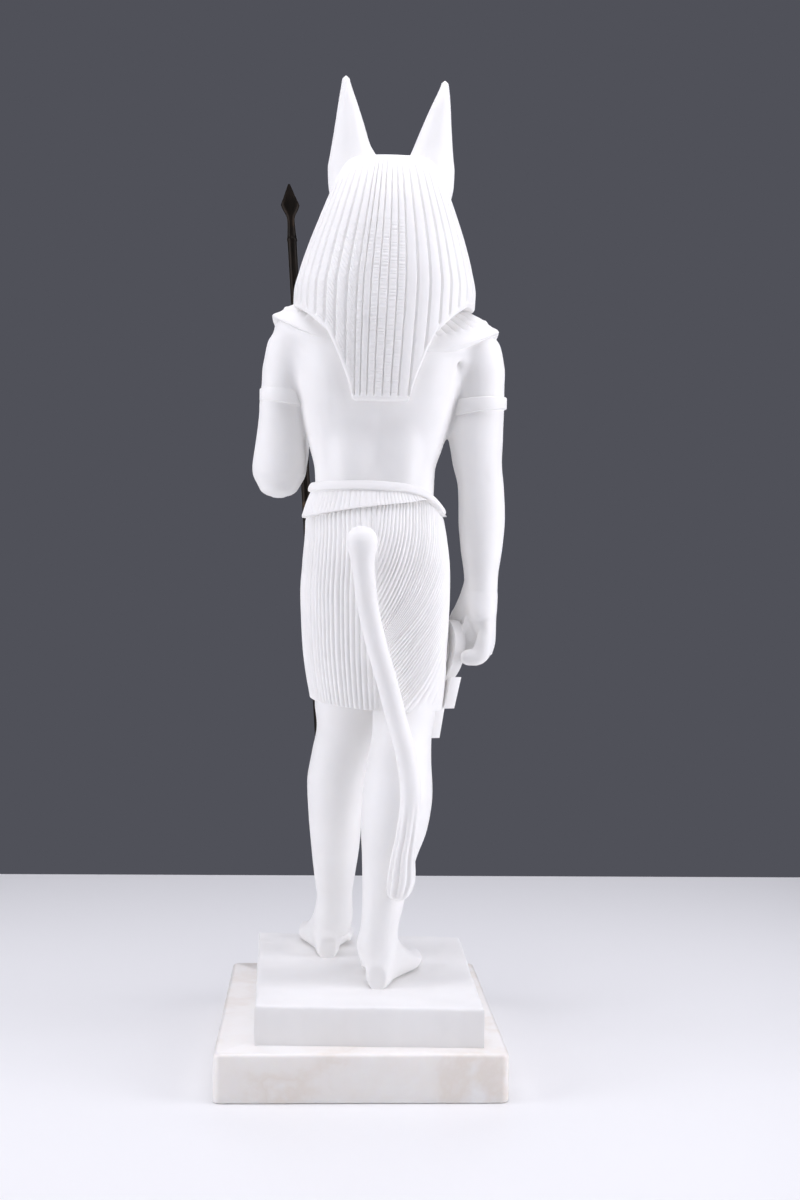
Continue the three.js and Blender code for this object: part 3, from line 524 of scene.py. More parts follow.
def body():
    """The god's body in one skin, from the neck to the toes."""
    clay = Clay((-60, -66, FLOOR - 1.5), (50, 50, 345), CLAY_CELL)
    clay.add(loft(TORSO, 2.3))
    add_back(clay)
    clay.add(loft(domed(RIGHT_ARM, 4, True)), 3.4)
    clay.add(loft(domed(domed(LEFT_UPPER_ARM, 4, True), 5, False)), 3.4)
    clay.add(loft(domed(domed(LEFT_FOREARM, 6, True), 3, False), 2.0, "yxz"), 3)
    clay.carve(lump((-45.6, 24.6, 222), (2.6, 1.8, 4)), 2)
    clay.add(loft(LEFT_LEG), 1)
    clay.add(loft(RIGHT_LEG), 1)
    add_foot(clay, (11, -14.6), math.radians(2), -1)
    add_foot(clay, (-5.4, 35.4), math.radians(-13), 1)
    add_right_hand(clay)
    add_left_hand(clay)
    add_head(clay)
    return thinned(clay.skin("body"), KEPT["body"])


def ear(side):
    """A tall ear, cupped to the front, with a round tip: rows of [z, inner edge, outer edge, depth of the cup]."""
    left = [[322, -2.4, 12.4, 5], [328, -3.6, 14.2, 5], [335, -4.8, 15.4, 5], [341, -4.6, 15.6, 4.8],
            [345, -3.4, 15, 4.4], [350, -0.6, 14.2, 3.8], [358, 1.9, 13, 3], [366, 4.5, 11.9, 2.2],
            [372, 6.6, 11, 1.5], [375.2, 7.6, 10.5, 1.1]]
    right = [[322, -14.6, -29.4, 5], [328, -13.8, -31.4, 5], [335, -13.8, -32.8, 5], [341, -14.4, -33, 4.8],
             [345, -15.4, -32.6, 4.4], [350, -17.4, -32.2, 3.8], [358, -20.6, -31.7, 3], [366, -24, -31.3, 2.2],
             [371, -26.3, -30.9, 1.5], [374.2, -27.6, -30.5, 1.1]]
    table = left if side > 0 else right
    top, inner, outer, cup = table[-1]
    half = (outer - inner) / 2
    table = table + [[top + abs(half) * high, inner + half * (1 - wide), outer - half * (1 - wide), cup * wide]
                     for high, wide in ((0.5, 0.88), (0.85, 0.6), (1.02, 0.2))]
    rings = []
    shares = np.cos(np.linspace(np.pi, 0, 19))
    for z in np.linspace(table[0][0], table[-1][0], 64):
        inner, outer, cup = (float(v) for v in smooth_read(table, z))
        x, half = (inner + outer) / 2, (outer - inner) / 2
        y = 11 - 3 * (z - 324) / (EAR_TIP - 324)
        wall = min(1.9, 0.5 * abs(half) + 0.2)
        crease = 0.6 * np.exp(-((shares + 0.1) / 0.2) ** 2) * smoothstep(326, 342, z) * smoothstep(374, 350, z)
        back = [[x + s * half, y + cup * (1 - s * s) - c + wall * 0.5 * (1 - s ** 4), z]
                for s, c in zip(shares, crease)]
        front = [[x + s * half, y - wall * 0.5 * (1 - s ** 4) + cup * 0.4 * (1 - s * s), z]
                 for s in shares[-2:0:-1]]
        rings.append(back + front)
    return shell("ear", rings)


# The wig

WIG_MIDDLE = [[CROWN, -8.4], [320, -7.8], [292, -6.7], [250, -5]]
WIG_HALF = [[CROWN, 8], [343.5, 15], [338, 19.6], [329, 23.4], [319.5, 27], [310, 30.3], [301, 32.9],
            [292, 34.7], [284, 34.6], [270, 33.5], [249.3, 31]]
WIG_BACK = [[CROWN, 13], [343.5, 22], [338, 28], [328, 33.6], [318, 37.2], [308, 39.8], [298, 41.4],
            [286, 42], [270, 40.6], [249.3, 38.6]]
WIG_FRONT = [[CROWN, 5], [343.5, 1], [338, -1.5], [328, -2.5], [310, -4.5], [298, -8], [286, -10],
             [270, -9.4], [249.3, -8]]
WIG_SPLIT = 13
WIG_POWER = 2.1
BACK_EDGE = [[10.8, 249.3], [11.8, 253.7], [13.4, 258.5], [17.1, 267.6], [20.6, 275], [27, 281], [33, 286]]
FRONT_EDGE = [[6.5, 296], [8.5, 285], [9, 256], [21, 254], [24, 278], [33, 286]]


def even_angles(count, power, depth, width):
    """Angles from one side over the middle to the other, at even steps along a rounded oblong."""
    fine = (np.linspace(0, 1, 801) - 0.5) * np.pi
    line = np.column_stack([width * squared(np.sin(fine), power), depth * squared(np.cos(fine), power)])
    length = np.concatenate([[0], np.cumsum(np.linalg.norm(np.diff(line, axis=0), axis=1))])
    return np.interp(np.asarray(count) * length[-1], length, fine)


def wig_point(z, angle, is_back, sunk):
    half = smooth_read(WIG_HALF, z)[0] - sunk
    far = smooth_read(WIG_BACK if is_back else WIG_FRONT, z)[0] - WIG_SPLIT
    x = smooth_read(WIG_MIDDLE, z)[0] + half * squared(np.sin(angle), WIG_POWER)
    y = WIG_SPLIT + (far - np.sign(far) * sunk) * squared(np.cos(angle), WIG_POWER)
    return np.stack([x, y, np.broadcast_to(z, x.shape)], axis=-1)


STRIPE_EDGES = [0, 0.05, 0.1, 0.151, 0.2, 0.245, 0.288, 0.338, 0.388, 0.432, 0.464, 0.498, 0.532, 0.562, 0.59,
                0.613, 0.652, 0.696, 0.741, 0.786, 0.83, 0.875, 0.92, 0.96, 1]


def stripe_profile(u):
    """How far a stripe's surface lies under its crown, by the place across it from 0 to 1."""
    edge = np.minimum(u, 1 - u)
    return WIG_GROOVE * (1 - smoothstep(0.0, 0.16, edge)) + 0.14 * (1 - smoothstep(0.12, 0.45, edge))


def chisel_strokes(z, x, stripe, u, share):
    """The depth of the short cuts across the wig's left stripes, each stripe at its own pace and slant."""
    wander = RANDOM.random((2, stripe.max() + 1))
    slant = smoothstep(0.5, 0.68, share) * (0.55 + 0.5 * wander[0][stripe])
    pace = 1.15 + 0.25 * wander[1][stripe] + 0.35 * smoothstep(0.56, 0.64, share)
    turn = z + x * slant
    phase = turn / pace + 0.18 * np.sin(turn * 1.7 + 20 * wander[0][stripe]) + 7 * wander[1][stripe]
    number = np.floor(phase).astype(int) - int(np.floor(phase.min()))
    force = 0.45 + 0.55 * RANDOM.random((stripe.max() + 1, number.max() + 1))
    force = force[np.broadcast_to(stripe, number.shape), number]
    cut = np.exp(-((phase % 1 - 0.5) / 0.2) ** 2)
    where = smoothstep(0.425, 0.45, share) * smoothstep(0.86, 0.78, share) * smoothstep(330, 304, z)
    return STROKE_DEPTH * cut * force * where * smoothstep(0.03, 0.16, np.minimum(u, 1 - u))


def wig_sheet(is_back, edges, rows):
    """One half of the wig as columns of points, cut into stripes, with a plain rounded rim along its lower edge."""
    across = [0, 0.06, 0.15, 0.32, 0.5, 0.68, 0.85, 0.94]
    stripes = len(edges) - 1
    stripe = np.append(np.repeat(np.arange(stripes), len(across)), stripes - 1)
    u = np.append(np.tile(across, stripes), 1)
    edges = np.array(edges)
    share = edges[stripe] + u * (edges[stripe + 1] - edges[stripe])
    angle = even_angles(share, WIG_POWER, 28 if is_back else 24, 34.7)
    edge = BACK_EDGE if is_back else FRONT_EDGE
    low = np.full(len(angle), 286.0)
    for _ in range(12):
        middle = -4.9 if is_back else smooth_read(WIG_MIDDLE, low)[0]
        aside = np.abs(wig_point(low, angle, is_back, 0)[:, 0] - middle)
        low = 0.5 * low + 0.5 * straight_read(edge, aside)
    steep = (straight_read(edge, aside + 0.6) - straight_read(edge, aside - 0.6)) / 1.2
    flat = 1 / np.sqrt(1 + steep ** 2)
    z = CROWN + (low[None, :] - CROWN) * rows[:, None]
    up = (z - low) * flat
    ears = 0.5 + 0.5 * np.abs(share - 0.487) / 0.5
    begun = smoothstep(CROWN - 0.5, CROWN - 5 - 34 * np.maximum(0, ears - 0.56), z)
    groove = smoothstep(WIG_RIM * 0.9, WIG_RIM * 1.7, up) * begun
    sunk = stripe_profile(u)[None, :] * groove
    if is_back:
        x = wig_point(z, angle[None, :], True, 0)[..., 0]
        sunk = sunk + chisel_strokes(z, x, stripe[None, :], u[None, :], share[None, :]) * groove
    past = np.clip(1 - up / WIG_RIM, 0, 1)
    sunk = sunk + WIG_RIM * (1 - np.sqrt(1 - past ** 2 * 0.999))
    points = wig_point(z, angle[None, :], is_back, sunk)
    end = points[-1].copy()
    end[:, 0] += (-7 - end[:, 0]) * 0.2
    end[:, 1] += (WIG_SPLIT - end[:, 1]) * 0.4
    return np.concatenate([points, end[None]])


def wig():
    upper, lower = np.linspace(0, 0.3, 30, endpoint=False), np.linspace(0.3, 0.975, 210, endpoint=False)
    rows = np.concatenate([upper, lower, np.linspace(0.975, 1, 12)])
    back = wig_sheet(True, STRIPE_EDGES, rows)
    front = wig_sheet(False, np.linspace(0, 1, 16), rows)[:, ::-1][:, 1:-1]
    rings = np.concatenate([back, front], axis=1)
    return thinned(shell("wig", rings, [-8.4, 10, CROWN + 0.3], [-7, WIG_SPLIT, 278]), KEPT["wig"])


# The collar

COLLAR_X, COLLAR_Y = -7.3, 12.4
COLLAR_HALF, COLLAR_BACK, COLLAR_FRONT = 43.4, 22.4, 18.2
COLLAR_SIDE = [[1, 0], [0.988, 0.55], [0.97, 0.95], [0.945, 1.25], [0.925, 1.7], [0.892, 2.6], [0.839, 3.8],
               [0.79, 4.6], [0.72, 5.9], [0.65, 7.1], [0.5, 8.8], [0.36, 9.6]]
COLLAR_NAPE = [[1, 0], [0.985, 0.9], [0.96, 2], [0.92, 3.6], [0.885, 4.9], [0.84, 6.2], [0.79, 7.7], [0.73, 9.3],
               [0.66, 10.4], [0.5, 11.8], [0.36, 12.6]]
COLLAR_UNDER = [[1, -0.25], [0.99, -0.8], [0.965, -1.6], [0.93, -2.3], [0.87, -3], [0.78, -3.4], [0.6, -3.6]]


def collar_rim(angle):
    """A point of the collar's outer edge: level at the shoulders, low at the nape and lowest at the chest."""
    back, front = max(0.0, math.sin(angle)), max(0.0, -math.sin(angle))
    depth = COLLAR_BACK if back > 0 else COLLAR_FRONT
    z = 281.2 + 2.3 * math.cos(angle) - 13 * back ** 1.8 - 24 * front ** 1.3
    return [COLLAR_X + COLLAR_HALF * math.cos(angle), COLLAR_Y + depth * math.sin(angle), z]


def collar():
    """A broad collar over the shoulders: a ring of round-ended petals above a plain thick rim."""
    fine = np.linspace(0, 2 * np.pi, 2001)
    depth = np.where(np.sin(fine) > 0, COLLAR_BACK, COLLAR_FRONT)
    line = np.column_stack([COLLAR_HALF * np.cos(fine), depth * np.sin(fine)])
    length = np.concatenate([[0], np.cumsum(np.linalg.norm(np.diff(line * 0.85, axis=0), axis=1))])
    petals = round(length[-1] / PETAL_SPACING)
    across = np.array([0, 0.07, 0.17, 0.33, 0.5, 0.67, 0.83, 0.93])
    place = (np.repeat(np.arange(petals), len(across)) + np.tile(across, petals)) / petals
    u = np.tile(across, petals)
    angle = np.interp(place * length[-1], length, fine)
    rim = np.array([collar_rim(a) for a in angle])
    nape = np.abs(np.sin(angle)) ** 0.8
    crown = (1 - np.abs(2 * u - 1) ** 2.6) ** 0.6
    end = 0.868 + 0.03 * np.sin(np.pi * u)
    rings = []
    for table, count in ((COLLAR_SIDE, 56), (COLLAR_UNDER, 10)):
        shares = np.linspace(min(row[0] for row in table), 1, count)
        shares = shares if table is COLLAR_SIDE else shares[::-1]
        for share in shares:
            lift = smooth_read(table, share)[0]
            if table is COLLAR_SIDE:
                at_nape = smooth_read(COLLAR_NAPE, share)[0]
                lift = lift * (1 - 0.17 * np.cos(angle)) * (1 - nape) + at_nape * nape
                petal = crown * smoothstep(end + 0.014, end - 0.012, share)
                lift = lift + PETAL_HEIGHT * (petal - 0.6 * smoothstep(0.9, 0.86, share))
            rings.append(np.column_stack([COLLAR_X + (rim[:, 0] - COLLAR_X) * share,
                                          COLLAR_Y + (rim[:, 1] - COLLAR_Y) * share, rim[:, 2] + lift]))
    skin = shell("collar", rings, [COLLAR_X, COLLAR_Y, 296], [COLLAR_X, COLLAR_Y, 266])
    return thinned(skin, KEPT["collar"])


# The kilt with its belt and fold

KILT = [
    [219, -3.6, 15.4, 23.6, 15.8, 16],
    [209, -3.7, 16, 26, 19.6, 18.4],
    [199, -4.4, 16.4, 27.1, 22.4, 20.6],
    [189, -4.6, 16.2, 28.1, 23.4, 22.6],
    [179, -4.4, 15.8, 28.5, 23.4, 24.4],
    [168, -4.5, 15, 28.2, 22.4, 26],
    [157, -4.6, 14, 27.6, 21.4, 27.4],
    [146, -5.1, 13, 26.8, 21, 28.4],
    [136.5, -5.6, 12.4, 25.6, 20.6, 28.8],
]
HEM = 136.5
SWEEP = [[215, 0], [200, 6], [181, 20], [154, 52], [136, 78]]
TAIL_ANGLE = [[200, 12], [176, 7], [160, 0], [136, -13]]
BELT_LINE = [[-28.4, 209.6], [-25.4, 213.4], [-20.8, 216], [-14, 217.5], [4, 218.1], [24, 217.8]]
FOLD_LINE = [[-28.4, 207.9], [-25.4, 211.7], [-22, 213.3], [-16.2, 212.2], [3, 209.7], [14, 207.8], [24, 206]]
BELT_ROWS = [[2, -4], [2.1, -0.6], [1.95, 0.5], [1.4, 1], [0.6, 1.3], [-0.3, 1.35], [-1, 1.1], [-1.3, 0.7],
             [-1.45, 0.1]]
FOLD_ROWS = [[0.1, 0.2, 0.25], [0.35, 0.6, 0.4], [0.6, 0.9, 0.42], [0.8, 1.2, 0.4], [0.92, 1.4, 0.3],
             [0.985, 1.3, 0.15], [1, 0.9, 0.05]]


def pleat_angle(start, z):
    """A pleat's angle at a height: upright on the left, swept on the right until it runs in behind the tail."""
    hidden = 6
    tail = smooth_read(TAIL_ANGLE, z)[0]
    gain = smoothstep(-180, -130, start) * (1 + 0.45 * smoothstep(-35, -80, start))
    swept = start + smooth_read(SWEEP, z)[0] * gain
    gap = tail - swept
    kept = np.where(gap > hidden, gap, hidden / np.maximum(2 - gap / hidden, 0.2))
    return np.where(start >= 0, start, tail - kept)


def hip_point(z, degrees, out):
    x, y, half, to_back, to_front = smooth_read(KILT, z)
    angle = np.radians(degrees)
    is_back = np.cos(angle) > 0
    depth = np.where(is_back, to_back, to_front)
    bulge = np.where(is_back, 0, 0.07 * np.sin(2 * angle) ** 2)
    return np.stack([x + (half + out) * (1 + bulge) * np.sin(angle),
                     y + (depth + out) * (1 + bulge) * np.cos(angle), z + 0 * x], axis=-1)


def pleat_profile(u):
    """How far a pleat's surface lies under its crown: a narrow furrow, then a round rib."""
    edge = np.minimum(u, 1 - u)
    return 1 - 0.7 * smoothstep(0, 0.2, edge) - 0.3 * smoothstep(0.15, 0.5, edge)


def kilt():
    """The pleated kilt with its belt and the fold that hangs under it."""
    across = [0, 0.1, 0.24, 0.5, 0.76, 0.9]
    right, left = np.linspace(-180, 0, RIGHT_PLEATS, endpoint=False), np.linspace(0, 180, LEFT_PLEATS + 1)
    edges = np.concatenate([right, left])
    pleats = len(edges) - 1
    width = np.diff(edges)
    edges[1:-1] += 0.22 * (RANDOM.random(pleats - 1) - 0.5) * width[1:] * (np.abs(edges[1:-1]) > 0.01)
    force = np.repeat(0.75 + 0.35 * RANDOM.random(pleats), len(across))
    u = np.tile(across, pleats)
    start = np.repeat(edges[:-1], len(across)) + u * np.repeat(np.diff(edges), len(across))
    sideways = -3.7 + 25 * np.sin(np.radians(start))
    belt, fold = smooth_read(BELT_LINE, sideways)[0], smooth_read(FOLD_LINE, sideways)[0]
    under = belt + BELT_ROWS[-1][0]
    fold = np.minimum(fold, under - 0.5)
    rings = [hip_point(belt + lift, start, out) for lift, out in BELT_ROWS]
    rings += [hip_point(under + (fold - under) * share, start, out - ripple * force * pleat_profile(u))
              for share, out, ripple in FOLD_ROWS]
    rows = 58
    for r in range(rows + 1):
        z = fold - 0.1 + (HEM - fold + 0.1) * r / rows
        angle = pleat_angle(start, z)
        spacing = pleat_angle(start + 2, z) - angle
        fade = np.where(start < 0, 1 - 0.85 * smoothstep(-42, -80, angle) * smoothstep(206, 192, z), 1)
        depth = PLEAT_DEPTH * force * np.clip(spacing / 2, 0.05, 1) * fade
        point = hip_point(z, angle, -depth * pleat_profile(u) - 0.3 * (r == 0))
        slant = smoothstep(0, 26, HEM + 26 - z)
        sag = 0.075 * (point[:, 0] + 5) - 1.6 * np.maximum(0, np.cos(np.radians(angle)))
        point[:, 2] += slant * sag
        rings.append(point)
    hem = rings[-1]
    inside = np.array([-5.6, 12, HEM])
    soft = hem + (inside - hem) * 0.02
    soft[:, 2] = hem[:, 2] - 0.35
    beneath = hem + (inside - hem) * 0.14
    beneath[:, 2] = hem[:, 2] - 0.35
    rings += [soft, beneath]
    return thinned(shell("kilt", rings, None, inside + [0, 0, 8]), KEPT["kilt"])


def apron():
    """The apron at the front of the kilt, widening to its hem, with long upright pleats."""
    rows = [[217, 4.5], [199, 6.2], [179, 7.6], [157, 9], [141, 10]]
    shares = np.linspace(-1, 1, 41)
    rings = []
    for z in np.linspace(217, 141, 30):
        half = float(smooth_read(rows, z)[0])
        cx, cy, a, _, b = (float(v) for v in smooth_read(KILT, z))
        out = 1.8 - 0.55 * (0.5 + 0.5 * np.cos(shares * 4 * 2 * np.pi)) ** 3

        def at(share, proud):
            x = share * half
            return np.stack([cx + x, cy - (b + proud) * np.sqrt(1 - (x / (a + proud)) ** 2), z + 0 * x], axis=-1)

        sides = [at(np.array([side]), np.array([-2.0])) for side in (1.0, -1.0)]
        rings.append(np.concatenate([at(shares, out), *sides]))
    return shell("apron", rings)


# Armlets, tail and ankh

def oval(sides, x, y, half_width, half_depth):
    angle = np.arange(sides) / sides * 2 * np.pi
    return x + half_width * np.cos(angle), y + half_depth * np.sin(angle)


def armlet(x, y, z, half_width, half_depth, outward):
    """A band round an upper arm, higher on the outside."""
    profile = [[-0.5, -1], [-0.5, 0.5], [-0.47, 0.9], [-0.4, 1.05], [0.4, 1.05], [0.47, 0.9], [0.5, 0.5], [0.5, -1]]
    rings = []
    for share, out in profile:
        px, py = oval(72, x, y, half_width + out, half_depth + out)
        height = 5.3 - 0.075 * (px - x) * outward
        rings.append(np.column_stack([px, py, z + share * height + (px - x) * 0.11 * outward]))
    return shell("armlet", rings)


TAIL = [
    [202.9, 1.5, 40, 0.4, 0.4],
    [202.4, 1.5, 40, 2.6, 2.2],
    [201.2, 1.5, 40.1, 4.1, 3.6],
    [199.6, 1.5, 40.2, 5.2, 4.7],
    [197.3, 1.5, 40.4, 5.7, 5.2],
    [194.6, 1.4, 40.6, 5.4, 5],
    [191.4, 1.3, 40.9, 4.6, 4.4],
    [187, 0.9, 41, 4.15, 4],
    [174, -0.9, 40.2, 3.95, 3.8],
    [161, -3.9, 38.4, 3.95, 3.7],
    [147, -8.1, 36.2, 4, 3.6],
    [132, -12.1, 35, 4, 3.5],
    [117, -16.2, 35.6, 3.9, 3.5],
    [103, -17.8, 36.4, 3.9, 3.6],
    [90, -16.6, 36.4, 4.1, 3.7],
    [80, -15.1, 36.2, 4.7, 3.9],
    [72.5, -14.6, 36, 5.3, 4.2],
    [68, -13.9, 35.8, 4.7, 3.8],
    [65.6, -13.6, 35.4, 3.2, 2.8],
    [64.4, -13.6, 35, 0.8, 0.8],
]


def tail():
    """The tail down the back, with a round root and a tuft that is grooved lengthwise."""
    sides = 72
    angle = np.arange(sides) / sides * 2 * np.pi
    furrow = (0.5 + 0.5 * np.cos(angle * 9 + 0.6)) ** 2
    rings = []
    for z in np.concatenate([np.linspace(202.9, 187, 26, endpoint=False), np.linspace(187, 64.4, 100)]):
        x, y, a, b = (float(v) for v in smooth_read(TAIL, z))
        size = 1 - 0.17 * furrow * smoothstep(106, 86, z) * smoothstep(64.4, 68, z)
        rings.append(np.column_stack([x + a * size * np.cos(angle), y + b * size * np.sin(angle), 0 * angle + z]))
    return thinned(shell("tail", rings), KEPT["tail"])


ANKH_LEAN = [[118, -26.9], [134.8, -29.4], [146.5, -31.9], [151, -33], [158, -34.3], [170, -35.4]]


def ankh():
    """A flat cross with a loop, leaning outwards as it rises and turned a little outwards at its back."""
    stem, stem_end, arm, arm_end, arm_root = 2.2, 3, 11, 6, 2.8
    bottom, root_up, loop_top, loop_half = -18, 3.6, 27.6, 11.6
    turn_up = root_up + (loop_top - root_up) * 0.55
    t = np.linspace(0, 1, 21)[:, None]
    knots = np.array([[stem, root_up], [loop_half, 7], [loop_half + 0.6, turn_up + 6], [0, loop_top]])
    right = (1 - t) ** 3 * knots[0] + 3 * (1 - t) ** 2 * t * knots[1]
    right = right + 3 * (1 - t) * t ** 2 * knots[2] + t ** 3 * knots[3]
    loop = np.vstack([right, (right * [-1, 1])[-2::-1]])
    cross = [[-arm_root - 3, arm_root + 1.2], [-arm, arm_end], [-arm, -arm_end], [-arm_root - 3, -arm_root - 0.6],
             [-stem, -arm_root - 2], [-stem_end, bottom], [stem_end, bottom], [stem, -arm_root - 2],
             [arm_root + 3, -arm_root - 0.6], [arm, -arm_end], [arm, arm_end], [arm_root + 3, arm_root + 1.2]]
    outline = np.vstack([loop, cross])
    hole_angle = np.linspace(0, 2 * np.pi, 28, endpoint=False)
    hole = np.column_stack([4.2 * np.cos(hole_angle), 15.6 + 7 * np.sin(hole_angle)])
    plate = flat_solid("ankh", outline, 4.2)
    punch = flat_solid("ankh_hole", hole, 9)
    cut_or_joined(plate, [punch], "DIFFERENCE")
    bevel = plate.modifiers.new("bevel", "BEVEL")
    bevel.width, bevel.segments, bevel.limit_method, bevel.angle_limit = 0.75 * MM, 3, "ANGLE", math.radians(40)
    evaluated(plate)
    flat = np.empty(len(plate.data.vertices) * 3, np.float32)
    plate.data.vertices.foreach_get("co", flat)
    along, up, aside = flat.reshape(-1, 3).T / MM
    turn = math.radians(20)
    z = 140.6 + up
    aside = aside * (1 - 0.2 * smoothstep(134, 124, z))
    x = smooth_read(ANKH_LEAN, z)[0] - along * math.sin(turn) + aside * math.cos(turn)
    y = 7 + along * math.cos(turn) + aside * math.sin(turn)
    plate.data.vertices.foreach_set("co", (np.column_stack([x, y, z]) * MM).astype(np.float32).ravel())
    plate.data.update()
    return outward(plate)


def outward(piece):
    """The piece with its faces turned outwards."""
    work = bmesh.new()
    work.from_mesh(piece.data)
    bmesh.ops.recalc_face_normals(work, faces=work.faces)
    work.to_mesh(piece.data)
    work.free()
    return piece


def flat_solid(name, outline, thickness):
    """An outline in the XY plane as a plate about that plane."""
    count = len(outline)
    low = np.column_stack([outline, np.full(count, -thickness / 2)])
    high = np.column_stack([outline, np.full(count, thickness / 2)])
    i = np.arange(count)
    after = (i + 1) % count
    walls = np.column_stack([i, after, after + count, i + count])
    points = np.vstack([low, high])
    mesh = bpy.data.meshes.new(name)
    faces = [list(map(int, f)) for f in walls] + [list(range(count))[::-1], list(range(count, 2 * count))]
    mesh.from_pydata((points * MM).tolist(), [], faces)
    work = bmesh.new()
    work.from_mesh(mesh)
    bmesh.ops.recalc_face_normals(work, faces=work.faces)
    bmesh.ops.triangulate(work, faces=work.faces)
    work.to_mesh(mesh)
    work.free()
    plate = bpy.data.objects.new(name, mesh)
    bpy.context.scene.collection.objects.link(plate)
    return plate


# The plinth

PLINTH_CORNERS = np.array([[41, -65.5], [-45, -57.5], [-43.5, 63], [38, 59]], float)
PLINTH_MIDDLE = PLINTH_CORNERS.mean(axis=0)


def plinth_line(out, per_side):
    """Points along the plinth's outline, moved out of it by a distance, and the way out at each of them."""
    line, ways = [], []
    normals = []
    for c in range(4):
        way = PLINTH_CORNERS[(c + 1) % 4] - PLINTH_CORNERS[c]
        normal = np.array([way[1], -way[0]]) / np.linalg.norm(way)
        normals.append(normal * np.sign(normal.dot(PLINTH_CORNERS[c] - PLINTH_MIDDLE)))
    corners = [PLINTH_CORNERS[c] + out * (normals[c - 1] + normals[c]) / (1 + normals[c - 1].dot(normals[c]))
               for c in range(4)]
    for c in range(4):
        share = np.linspace(0, 1, per_side, endpoint=False)[:, None]
        line.append(corners[c] + (corners[(c + 1) % 4] - corners[c]) * share)
        ways.append(np.broadcast_to(normals[c], (per_side, 2)))
    return np.vstack(line), np.vstack(ways)


def plinth():
    """A roughly squared block, cast with the figure, its faces and edges a little wavy."""
    per_side = 56
    along = np.arange(4 * per_side)
    wave = 0.5 * np.sin(along * 0.42) + 0.3 * np.sin(along * 0.19 + 1) + 0.3 * np.sin(along * 1.3 + 2)
    profile = [[SLAB_HEIGHT, 0, 0.1, 0], [SLAB_HEIGHT + 1.5, 0, 0.2, 0], [SLAB_HEIGHT + 3.5, 0, 0.3, 0],
               [SLAB_HEIGHT + 5.5, 0, 0.35, 0], [SLAB_HEIGHT + 8, 0, 0.3, 0], [FLOOR - 4, 0, 0.25, 0.1],
               [FLOOR - 2, 0, 0.2, 0.3], [FLOOR - 1, -0.05, 0.2, 0.4], [FLOOR - 0.4, -0.2, 0.2, 0.5],
               [FLOOR - 0.1, -0.6, 0.15, 0.5], [FLOOR, -1.2, 0.1, 0.45], [FLOOR, -2.4, 0, 0.3],
               [FLOOR, -4.5, 0, 0.15], [FLOOR, -8, 0, 0]]
    rings = []
    for z, out, rough, lift in profile:
        line, way = plinth_line(out, per_side)
        worn = line + way * (wave * rough)[:, None] - way * 0.25 * (rough > 0)
        rings.append(np.column_stack([worn, z + wave * 0.45 * lift]))
    edge = rings[-1][:, :2]
    for share in [0.97, *np.linspace(0.924, 0.06, 25)]:
        flat = PLINTH_MIDDLE + (edge - PLINTH_MIDDLE) * share
        rings.append(np.column_stack([flat, FLOOR + plinth_unevenness(flat[:, 0], flat[:, 1])]))
    return thinned(shell("plinth", rings), KEPT["plinth"])


def plinth_unevenness(x, y):
    """The top's gentle rise and fall, as a hand-worked surface has, with a low ledge across it at the left heel."""
    rolling = 0.16 * np.sin(0.13 * x + 0.05 * y + 1) * np.cos(0.1 * y - 0.04 * x)
    rolling = rolling + 0.1 * np.sin(0.31 * x - 0.22 * y)
    ledge = 0.3 * np.exp(-((y + 17 + 0.12 * x) / 4) ** 2) * smoothstep(-30, -10, x) * smoothstep(34, 18, x)
    inside = smoothstep(66, 56, np.abs(y)) * smoothstep(44, 34, np.abs(x))
    return (rolling + ledge) * inside


# Slab and spear

def base_slab():
    """A rectangular block with rounded upright corners and a softened upper edge."""
    profile = [[0, -0.6], [0.25, -0.2], [0.6, 0], [SLAB_HEIGHT - SLAB_BEVEL, 0]]
    for k in range(1, 7):
        turn = k / 6 * math.pi / 2
        profile.append([SLAB_HEIGHT - SLAB_BEVEL * (1 - math.sin(turn)), -SLAB_BEVEL * (1 - math.cos(turn))])
    rings = []
    for z, out in profile:
        ring = []
        for q, (sx, sy) in enumerate(((1, 1), (-1, 1), (-1, -1), (1, -1))):
            for k in range(9):
                angle = (q + k / 8) * math.pi / 2
                radius = SLAB_CORNER + out
                ring.append([sx * (SLAB_WIDTH / 2 - SLAB_CORNER) + radius * math.cos(angle),
                             sy * (SLAB_DEPTH / 2 - SLAB_CORNER) + radius * math.sin(angle), z])
        rings.append(ring)
    return smooth_shaded(shell("polished_slab", rings), 40)


def spear_rings(rows, sides, axes):
    angle = np.arange(sides) / sides * 2 * np.pi
    return [spear_at(z) + np.outer(np.cos(angle) * a, axes[0]) + np.outer(np.sin(angle) * b, axes[1])
            for z, a, b in rows]


